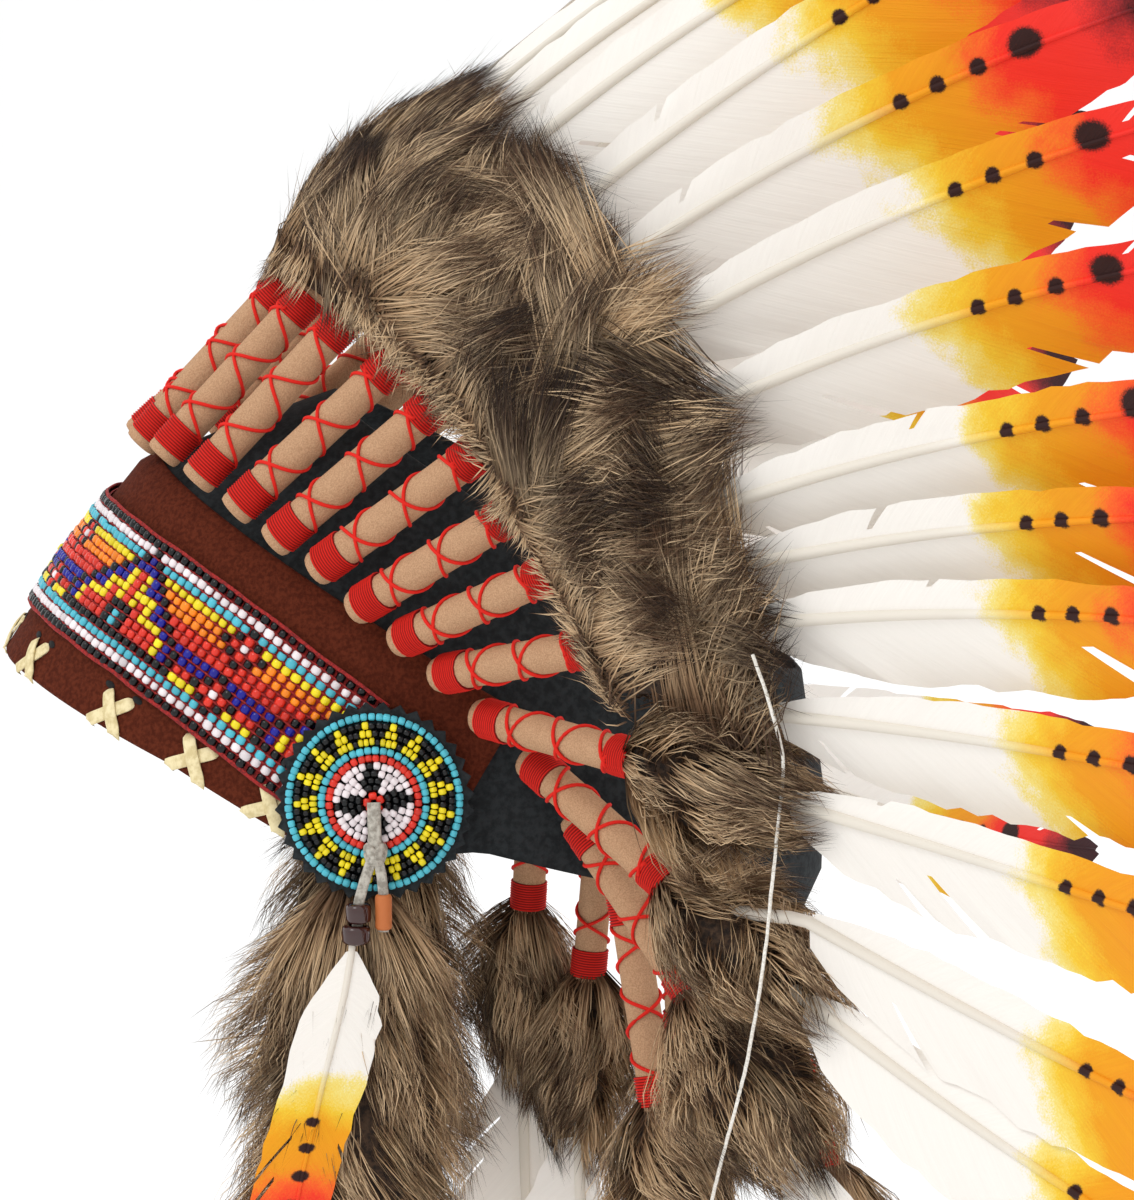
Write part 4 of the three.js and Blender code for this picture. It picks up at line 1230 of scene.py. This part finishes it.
def hemHole(middle, hand):          # a black disc for the mouth of a strap's hole: painted shade in the hole, over the dark cap leather beneath
    angle = np.radians(middle + hand * lacing["half"] * lacing["holeAside"] / perDegree)
    level = rimLevel(angle) - cap["suedeHem"] + lacing["rise"] + lacing["holeRise"]
    centre, out = capPoint(angle, level, lacing["holeOut"]), ringOut(angle)
    up = np.array((0, 0, 1.0))
    turn = turnAngles(12)[:, None]
    halfWidth, halfHeight = lacing["hole"]
    rim = centre + halfWidth * np.cos(turn) * np.cross(up, out) + halfHeight * np.sin(turn) * up
    return closedStrip([rim - out * 0.1, rim + out * 0.15])


def mirrored(body, side):
    points, faces = body
    return points * (side, 1, 1), faces


def makeLacing():
    straps, holes = [], []
    for side in sides:
        for middle in lacing["angles"][0 if side > 0 else 1:]:
            for hand, over in ((1, 0.0), (-1, 1.0)):
                straps.append(mirrored(hemStrap(middle, hand, over), side))
                holes.append(mirrored(hemHole(middle, hand), side))
    points, faces = merged(straps)
    finishPiece(facing(meshObject("hem_lacing", toWorld(points), faces, creamLacing)), "cream_lacing")
    points, faces = merged(holes)
    finishPiece(facing(meshObject("hem_holes", toWorld(points), faces, holeShade)), "dark_leather")


def makeThreads():
    rng = np.random.default_rng(12)
    for side, name in sides.items():
        line = smoothLine(looseThread["route"], looseThread["points"]) * (side, 1, 1)
        line += np.cumsum(rng.normal(0, looseThread["drift"], line.shape), axis=0)
        points, faces = tube(line, looseThread["radius"], 6)
        piece = meshObject(f"loose_thread_{name}", points * mm, faces, whiteThread)
        finishPiece(facing(piece), "white_thread")


makeLacing()
makeThreads()
print("lacing made")

beadShape = {
    "sides": 8,
    "profile": [(0.66, -0.96), (1.0, -0.62), (1.0, 0.62), (0.66, 0.96)],
    "sizes": (-0.07, 0.05),
    "tints": 0.08,
}
beadTints = {
    "K": colour(5, 6, 8),
    "W": colour(232, 222, 224),
    "T": colour(78, 180, 198),
    "Y": colour(232, 212, 30),
    "O": colour(240, 132, 22),
    "R": colour(212, 48, 32),
    "B": colour(18, 22, 140),
}


def beadModel():                    # one seed bead along its own third axis
    count = beadShape["sides"]
    turn = turnAngles(count) + math.pi / count
    rings = [np.stack([r * np.cos(turn), r * np.sin(turn), 0 * turn + h], 1) for r, h in beadShape["profile"]]
    return np.concatenate(rings), [gridFaces(len(rings), count, closed=True)]


def beadWork(name, places, axes, letters, rng, node):
    size = 1 + rng.uniform(*beadShape["sizes"], (len(places), 1, 1))
    points, faces = copies(beadModel(), places, axes * size)
    piece = meshObject(name, points, faces, seedBead)
    tints = np.array([beadTints[letter][:3] for letter in letters])
    tints = tints * (1 + rng.normal(0, beadShape["tints"], (len(letters), 1)))
    addColour(piece, "tint", np.clip(np.repeat(tints, len(points) // len(letters), 0), 0, 1))
    finishPiece(piece, "seed_beads", node)


# Half of the band's repeat, from the upper edge down and from a peak to the next cross
beadRepeat = [
    "KKKKKKKKKKKKKK",
    "KWWWWWWWWWWWWW",
    "BKTTTTTTTTTTTK",
    "BBKYYYYYYYYYKR",
    "RYBKOOOOOOOKRW",
    "RYBBKOOOOOOOKR",
    "RYYYBKRRRRRRRK",
    "RYRYBBKRRRRRRR",
    "KKRYYYBKBBBBBK",
    "TKRRRRYBKBBBKR",
    "TKRRRRYBKRRKRW",
    "KKKKKKKKKYYYKR",
    "TTTTTTTTTTTTTK",
    "WWWWWWWWWWWWWW",
    "KKKKKKKKKKKKKK",
]
beadBand = {
    "line": [(0, -10.6), (20, -8.4), (42, -6.5), (57, -6.6), (80, -9.2)],   # degrees round, middle's level
    "rowPitch": 2.3,
    "columns": 91,
    "peak": 65,                     # the column of a peak, on the wearer's left
    "middle": 3.6,                  # the beads' middle, outwards from the cap
    "half": (1.3, 1.0, 1.08),       # half sizes round, outwards and up
    "reach": cap["beadReach"] - 0.8,
    "place": 0.1,                   # how unevenly the beads lie, lean and vary
    "lean": 0.06,
    "sizes": (-0.08, 0.04),
    "thread": (0.24, 0.25),         # radius, and distance out past the beads' middle
    "edgeThread": (0.36, 0.35),
    "edgeGap": 0.35,                # between the two threads of an edge
    "threadWave": (0.12, 31),
    "threadStray": 0.03,
    "backing": (2.3, 0.9),          # distance out and thickness
    "over": 0.012,                  # radians that threads and backing run past the beads
}


def bandLevel(angle, row):          # row counts down from the middle of the band
    middle = np.interp(np.abs(np.degrees(angle)), *np.asarray(beadBand["line"]).T)
    return middle - row * beadBand["rowPitch"]


def makeBandBeads(reach, rng):
    angles = np.linspace(-reach, reach, beadBand["columns"])
    out = ringOut(angles)
    half = len(beadRepeat[0]) - 1
    steps = [abs((j - beadBand["peak"] + half) % (2 * half) - half) for j in range(len(angles))]
    places, letters, axes = [], [], []
    for i, letterRow in enumerate(beadRepeat):
        level = bandLevel(angles, i - (len(beadRepeat) - 1) / 2)
        jitter = rng.normal(0, beadBand["place"], (len(angles), 2))
        places.append(capPoint(angles, level + jitter[:, 0], beadBand["middle"] + jitter[:, 1]))
        up = np.array((0, 0, 1.0)) + rng.normal(0, beadBand["lean"], out.shape)
        size = np.array(beadBand["half"]) * (1 + rng.uniform(*beadBand["sizes"], (len(angles), 3)))
        axes.append(np.stack([np.cross(up, out), out, up], 1) * size[:, :, None])
        letters += [letterRow[step] for step in steps]
    axes = np.concatenate(axes) * mm @ tiltMatrix
    beadWork("bead_band_beads", toWorld(np.concatenate(places)), axes, letters, rng, "bead_band")


def makeBandThreads(reach, rng):    # warp threads between the rows, doubled at the edges, on a backing
    angles = np.linspace(-reach - beadBand["over"], reach + beadBand["over"], 240)
    rows = len(beadRepeat)
    wave, pace = beadBand["threadWave"]
    bodies = []
    for i in range(rows + 1):
        edge = i in (0, rows)
        radius, proud = beadBand["edgeThread" if edge else "thread"]
        for shift in ((0.0, beadBand["edgeGap"]) if edge else (0.0,)):
            level = bandLevel(angles, i - rows / 2) + (shift if i == 0 else -shift)
            level = level + wave * np.sin(angles * pace + i * 2)
            level = level + rng.normal(0, beadBand["threadStray"], len(angles))
            bodies.append(tube(capPoint(angles, level, beadBand["middle"] + proud), radius, 5))
    across = np.linspace(rows / 2, -rows / 2, 12)
    backing = [skinSection(bandLevel(angle, across), *beadBand["backing"], angle) for angle in angles[::2]]
    bodies.append(closedStrip(backing))
    points, faces = merged(bodies)
    finishPiece(facing(meshObject("bead_band_threads", toWorld(points), faces, beadThread)), "seed_beads")


def makeBeadBand():
    rng = np.random.default_rng(7)
    reach = math.radians(beadBand["reach"])
    makeBandBeads(reach, rng)
    makeBandThreads(reach, rng)


makeBeadBand()
print("bead band made")

rosette = {
    "angle": math.radians(83.8),
    "level": -13.4,
    "lean": 0.08,
    "out": 5.4,
    "radius": 25.0,
    "teeth": 36,
    "tooth": 1.8,
    "thick": 1.4,
    "round": 0.2,
    "rings": [                      # radius, height, a repeat whose first letters are centred, times
        (21.3, 1.3, "T", 70),
        (19.2, 1.6, "YKKK", 17),
        (17.2, 1.9, "YYKK", 17),
        (15.1, 2.1, "YYYK", 17),
        (13.0, 2.3, "T", 42),
        (11.1, 2.4, "R", 37),
        (9.2, 2.5, "KWWWWWWW", 4),
        (7.3, 2.6, "KKWWWW", 4),
        (5.5, 2.7, "KKKWW", 4),
        (3.7, 2.8, "KKW", 4),
        (1.7, 2.9, "R", 5),
    ],
    "bead": (1.0, 0.95),            # half sizes across the ring and outwards
    "touch": 0.47,                  # half size along the ring, of the beads' pitch
    "stray": (0.05, 0.06),          # along the ring, of the pitch, and across it in millimetres
    "beadOut": 1.1,                 # from a ring's height to its beads' middle
    "turn": 0.12,
}


def rosetteFrame(side):             # centre and axes in the upright frame: round, up and outwards
    angle = np.array(rosette["angle"])
    centre = toWorld(capPoint(angle, rosette["level"], rosette["out"]), side)[0]
    out = ellipseNormal(*capHalves(rosette["level"]), angle)
    out = toWorld(unit(out + (0, 0, rosette["lean"])), side)[0] / mm
    up = unit(np.array((0, 0, 1.0)) - out * out[2])
    return centre, np.stack([np.cross(up, out) * side, up, out])    # mirrored on the right


def pinkedDisc(name, centre, axes):         # a leather disc with a toothed edge
    restMode()
    bpy.ops.mesh.primitive_circle_add(vertices=2 * rosette["teeth"], radius=rosette["radius"] * mm,
                                      fill_type="NGON")
    piece = bpy.context.object
    piece.name = name
    for corner in list(piece.data.vertices)[::2]:
        corner.co *= 1 - rosette["tooth"] / rosette["radius"]
    bpy.ops.object.mode_set(mode="EDIT")
    bpy.ops.mesh.select_all(action="SELECT")
    bpy.ops.mesh.extrude_region_move(TRANSFORM_OT_translate={"value": (0, 0, rosette["thick"] * mm)})
    bpy.ops.mesh.select_all(action="SELECT")
    bpy.ops.mesh.bevel(offset=rosette["round"] * mm, segments=2, affect="EDGES")
    bpy.ops.object.mode_set(mode="OBJECT")
    piece.matrix_world = Matrix.Translation(centre) @ Matrix(axes.T.tolist()).to_4x4()
    bpy.ops.object.transform_apply(location=True, rotation=True, scale=True)
    bpy.ops.object.shade_smooth_by_angle(angle=math.radians(35))
    piece.data.materials.append(darkLeather)
    return piece


def ringOfBeads(radius, height, repeat, times, rng):    # places and axes on the flat rosette
    count = len(repeat) * times
    pitch = 2 * math.pi / count
    alike = len(repeat) - len(repeat.lstrip(repeat[0]))
    angle = (np.arange(count) - (alike - 1) / 2) * pitch + math.pi / 2 + rosette["turn"]
    angle += rng.normal(0, rosette["stray"][0], count) * pitch
    across, outwards = rosette["bead"]
    along = radius * pitch * rosette["touch"]
    away = np.stack([np.cos(angle), np.sin(angle), 0 * angle], 1)
    tangent = np.stack([-np.sin(angle), np.cos(angle), 0 * angle], 1)
    normal = np.broadcast_to((0.0, 0.0, 1.0), away.shape)
    places = away * (radius + rng.normal(0, rosette["stray"][1], (count, 1)))
    places = places + normal * (height + rosette["beadOut"])
    return places, np.stack([away * across, normal * outwards, tangent * along], 1)


def makeRosettes():
    for side, name in sides.items():
        rng = np.random.default_rng(80 + side)
        centre, axes = rosetteFrame(side)
        piece = pinkedDisc(f"rosette_leather_{name}", centre, axes)
        finishPiece(facing(piece), "dark_leather", f"rosette_backing_{name}")
        places, spins = zip(*(ringOfBeads(*beads, rng) for beads in rosette["rings"]))
        places = centre + np.concatenate(places) @ axes * mm
        letters = "".join(repeat * times for _, _, repeat, times in rosette["rings"])
        beadWork(f"rosette_seed_beads_{name}", places, np.concatenate(spins) @ axes * mm, letters, rng,
                 f"rosette_beads_{name}")


# What hangs from a rosette is set out in millimetres out, back and down from its centre
pendant = {
    "out": 10.4,
    "spine": [                      # down and back
        (34.6, -5.4), (38, -5.8), (46, -7.2), (56, -9.5), (72, -13.5), (92, -18), (112, -22), (126, -24.8),
    ],
    "edge": [
        (36, 1.4, 1.4), (39, 3.2, 3.4), (43, 5.6, 6.2), (48, 8, 8.8), (54, 9.8, 10.6), (61, 10.4, 11),
        (70, 10, 10.4), (80, 10.6, 9.6), (92, 11.6, 9), (103, 11.2, 8.4), (112, 9.6, 7.2), (118, 7.2, 5.8),
        (123, 4.2, 3.6), (126, 1.2, 1.2),
    ],
    "columns": 72,
    "steps": 5,
    "cup": 0.08,
    "splits": (2, 1),
    "shaft": [(33, 0.9), (60, 0.8), (100, 0.5), (125, 0.25)],
    "dyeShift": (183, 71, 1.5),     # the dye of a quill's first number starts at the second, and is faster
    "tone": 0.2,
}
hanging = {
    "thong": [                      # a run of places, its width and thickness
        (((6.6, 0, -1), (8, 0.2, 5), (9.2, 0.4, 11.5)), 3.4, 1.5),
        (((9.2, 0, 11.5), (10, -2.2, 18), (10.2, -3.7, 23.4), (10.2, -4.1, 28.9), (10.2, -4.4, 33)),
         2.7, 1.2),
        (((9.2, 0.8, 11.5), (9.8, 2, 17), (9.8, 2.4, 21.5), (9.8, 2.4, 31)), 2.6, 1.2),
    ],
    "knot": (9.2, 0.4, 11.5),
    "knotLoop": (1.3, 1.7, 1.5),    # its turns' reach out, back and down
    "knotRadius": 1.36,
    "beads": [                      # node, place, radius, length, slot
        ("pony_bead_upper", (10.2, -3.8, 26.2), 3.2, 5.0, "brown_bead"),
        ("pony_bead_lower", (10.2, -4.4, 31.6), 3.6, 4.8, "brown_bead"),
        ("tube_bead", (9.8, 2.4, 26), 2.1, 9.0, "tan_bead"),
    ],
    "bore": 1.55,
    "rim": (0.42, 0.25),            # of a bead's radius and length, the most that its rim is rounded
}
beadLook = {"brown_bead": brownBead, "tan_bead": tanBead}
drop = {
    "rows": [                       # down, back, half across, half through, out
        (14, -5, 5, 0.7, -1.2), (24, -6, 6, 0.7, -1.2), (31, -6, 15, 5, -3), (40, -6.5, 24, 9, -4),
        (62, -7, 26, 11, -4), (88, -7, 27, 11, -4), (114, -6, 27, 11, -4), (138, -5, 23, 9, -4),
        (154, -4, 13, 6, -4), (170, -4, 5, 3, -4),
    ],
    "coat": [                       # down and depth of the undercoat
        (14, 0.9), (24, 0.9), (31, 0.7), (40, 0.72), (60, 0.75), (88, 0.75), (114, 0.75), (138, 0.7),
        (150, 0.5), (158, 0.3),
    ],
    "locks": 230,
    "lockRange": (26, 166),
}
dropLook = dict(ruffLook, perLock=42, perClump=4, span=22.0, reach=(18, 32), whirl=0.35, sway=0.3,
                lift=(0.9, 1.3), foot=16, end=176, tipDepth=(0.9, 1.15), shade=0.66, pull=0.3)


def hangPoints(centre, side, points):       # out, back and drop to upright metres
    out, back, down = np.asarray(points, float).reshape(-1, 3).T
    return centre + np.stack([side * out, back, -down], 1) * mm


def strapBody(line, width, thick):  # a flat strap with rounded edges, its face outwards
    line = np.asarray(line, float)
    given, fine = np.linspace(0, 1, len(line)), np.linspace(0, 1, 20)
    path = np.stack([np.interp(fine, given, line[:, i]) for i in range(3)], 1)
    way = pathWay(path)
    across = unit(np.cross(way, (1.0, 0, 0)))
    face = np.cross(across, way)
    c, s = np.cos(turnAngles(10)), np.sin(turnAngles(10))
    c, s = np.sign(c) * np.abs(c) ** 0.5, np.sign(s) * np.abs(s) ** 0.6
    return closedStrip(path[:, None] + (across[:, None] * c[None, :, None] * width / 2
                                        + face[:, None] * s[None, :, None] * thick / 2))


def knotBody():
    turn = np.linspace(0, 2 * math.pi, 60)
    loop = np.stack([np.cos(2 * turn), np.sin(turn), np.sin(2 * turn + 0.6)], 1)
    return tube(hanging["knot"] + loop * hanging["knotLoop"], hanging["knotRadius"], 10)


def selectFaces(piece, wanted):     # in edit mode
    mesh = bmesh.from_edit_mesh(piece.data)
    for face in mesh.faces:
        face.select = wanted(face)
    bmesh.update_edit_mesh(piece.data)


def turnedBead(name, place, radius, length, material):      # a rounded bead with an open bore
    restMode()
    bpy.ops.mesh.primitive_cylinder_add(vertices=28, radius=radius * mm, depth=length * mm, location=place)
    piece = bpy.context.object
    piece.name = name
    bpy.ops.object.mode_set(mode="EDIT")
    bpy.ops.mesh.select_mode(type="FACE")
    bpy.ops.mesh.select_all(action="DESELECT")
    selectFaces(piece, lambda face: abs(face.normal.z) > 0.9)
    rimRadius, rimLength = hanging["rim"]
    bpy.ops.mesh.bevel(offset=min(radius * rimRadius, length * rimLength) * mm, segments=4, affect="EDGES")
    bpy.ops.mesh.select_all(action="DESELECT")
    selectFaces(piece, lambda face: len(face.verts) > 8)    # the two flat ends
    bpy.ops.mesh.inset(thickness=max(0.05, radius * (1 - rimRadius) - hanging["bore"]) * mm)
    bpy.ops.mesh.bridge_edge_loops()
    bpy.ops.object.mode_set(mode="OBJECT")
    bpy.ops.object.transform_apply(location=True, rotation=True, scale=True)
    bpy.ops.object.shade_smooth_by_angle(angle=math.radians(50))
    piece.data.materials.append(material)
    return piece


def dropShell(u, v, depth):         # u down the drop, v the angle round it
    rows = np.asarray(drop["rows"], float)
    back, across, through, out = (np.interp(u, rows[:, 0], rows[:, i]) for i in (1, 2, 3, 4))
    soft = depth * (1 + 0.1 * np.sin(3 * v + u / 11))
    return np.stack([out + through * np.sin(v) * soft, back + across * np.cos(v) * soft, u], 1)


def makeHanging():
    for side, name in sides.items():
        rng = np.random.default_rng(90 + side)
        centre = rosetteFrame(side)[0]

        def place(points, centre=centre, side=side):
            return hangPoints(centre, side, points)

        points, faces = merged([strapBody(*run) for run in hanging["thong"]] + [knotBody()])
        piece = meshObject(f"suede_thong_{name}", place(points), faces, greySuede)
        finishPiece(facing(piece), "grey_suede", f"thong_{name}")
        for label, where, radius, length, slotName in hanging["beads"]:
            bead = turnedBead(f"{label.replace('bead', 'glass')}_{name}", place(where)[0], radius, length,
                              beadLook[slotName])
            finishPiece(bead, slotName, f"{label}_{name}")

        def station(along, out, trail, place=place):
            back = np.interp(along, *np.asarray(pendant["spine"], float).T)
            return place(np.stack([pendant["out"] + out, back + trail, along], 1))

        parts, dyes, barbs = featherParts(station, pendant, rng, lambda at: station(at, at * 0, at * 0))
        level, startsAt, pace = pendant["dyeShift"]
        dyes[:, 0] = (level + (dyes[:, 0] * dye["map"][0] - startsAt) * pace) / dye["map"][0]
        featherObject(f"pendant_plume_{name}", [(parts, dyes, barbs)], [pendant["tone"]],
                      f"pendant_feather_{name}")
        points, faces = coatBody(dropShell, drop["coat"])
        coat = meshObject(f"drop_undercoat_{name}", place(points), faces, undercoatShade)
        finishPiece(facing(coat), "brown_fur", f"fur_drop_{name}")
        u, v = sow(rng, drop["locks"], *drop["lockRange"], 0, 2 * math.pi)
        growLocks(f"drop_hair_{name}", dropShell, u, v, rng, dropLook, place)


makeRosettes()
makeHanging()
print("rosettes and drops made")

studio = {
    "aim": (0, 0.030687, 0.03303),
    "distance": 1.35,
    "elevation": math.radians(9),
    "lens": 153.9,
    "sensor": 36.0,
    "floorLevel": -0.33,
    "floorSize": 60.0,
    "floorColour": (0.93, 0.93, 0.93, 1),
    "skyStrength": 1.08,
    "lamps": [                      # name, place, size, power
        ("keyLight", (1.4, -1.3, 2.1), 1.0, 16),
        ("rearLight", (-1.8, 0.8, 1.7), 1.6, 5),
    ],
}


def makeStage():
    restMode()
    bpy.ops.mesh.primitive_plane_add(size=studio["floorSize"], location=(0, 0, studio["floorLevel"]))
    floor = bpy.context.object
    floor.name = "studio_floor"
    floor.data.materials.append(newMaterial("studioFloor", 0.9, **{"Base Color": studio["floorColour"]})[0])
    world = bpy.data.worlds.new("studioWorld")
    bpy.context.scene.world = world
    world.use_nodes = True
    sky = world.node_tree.nodes["Background"]
    sky.inputs["Color"].default_value = (1, 1, 1, 1)
    sky.inputs["Strength"].default_value = studio["skyStrength"]
    for name, place, size, power in studio["lamps"]:
        lamp = bpy.data.lights.new(name, "AREA")
        lamp.size = size
        lamp.energy = power
        holder = bpy.data.objects.new(name, lamp)
        bpy.context.scene.collection.objects.link(holder)
        holder.location = place
        holder.rotation_euler = (-Vector(place)).to_track_quat("-Z", "Y").to_euler()     # towards the origin


def makeCamera():
    data = bpy.data.cameras.new("camera")
    data.lens = studio["lens"]
    data.sensor_width = studio["sensor"]
    camera = bpy.data.objects.new("camera", data)
    bpy.context.scene.collection.objects.link(camera)
    back = Vector((math.cos(studio["elevation"]), 0, math.sin(studio["elevation"])))
    camera.location = Vector(studio["aim"]) + back * studio["distance"]
    camera.rotation_euler = (-back).to_track_quat("-Z", "Y").to_euler()
    bpy.context.scene.camera = camera


makeStage()
makeCamera()
bpy.context.scene.view_settings.view_transform = "Standard"
print("stage and camera ready")
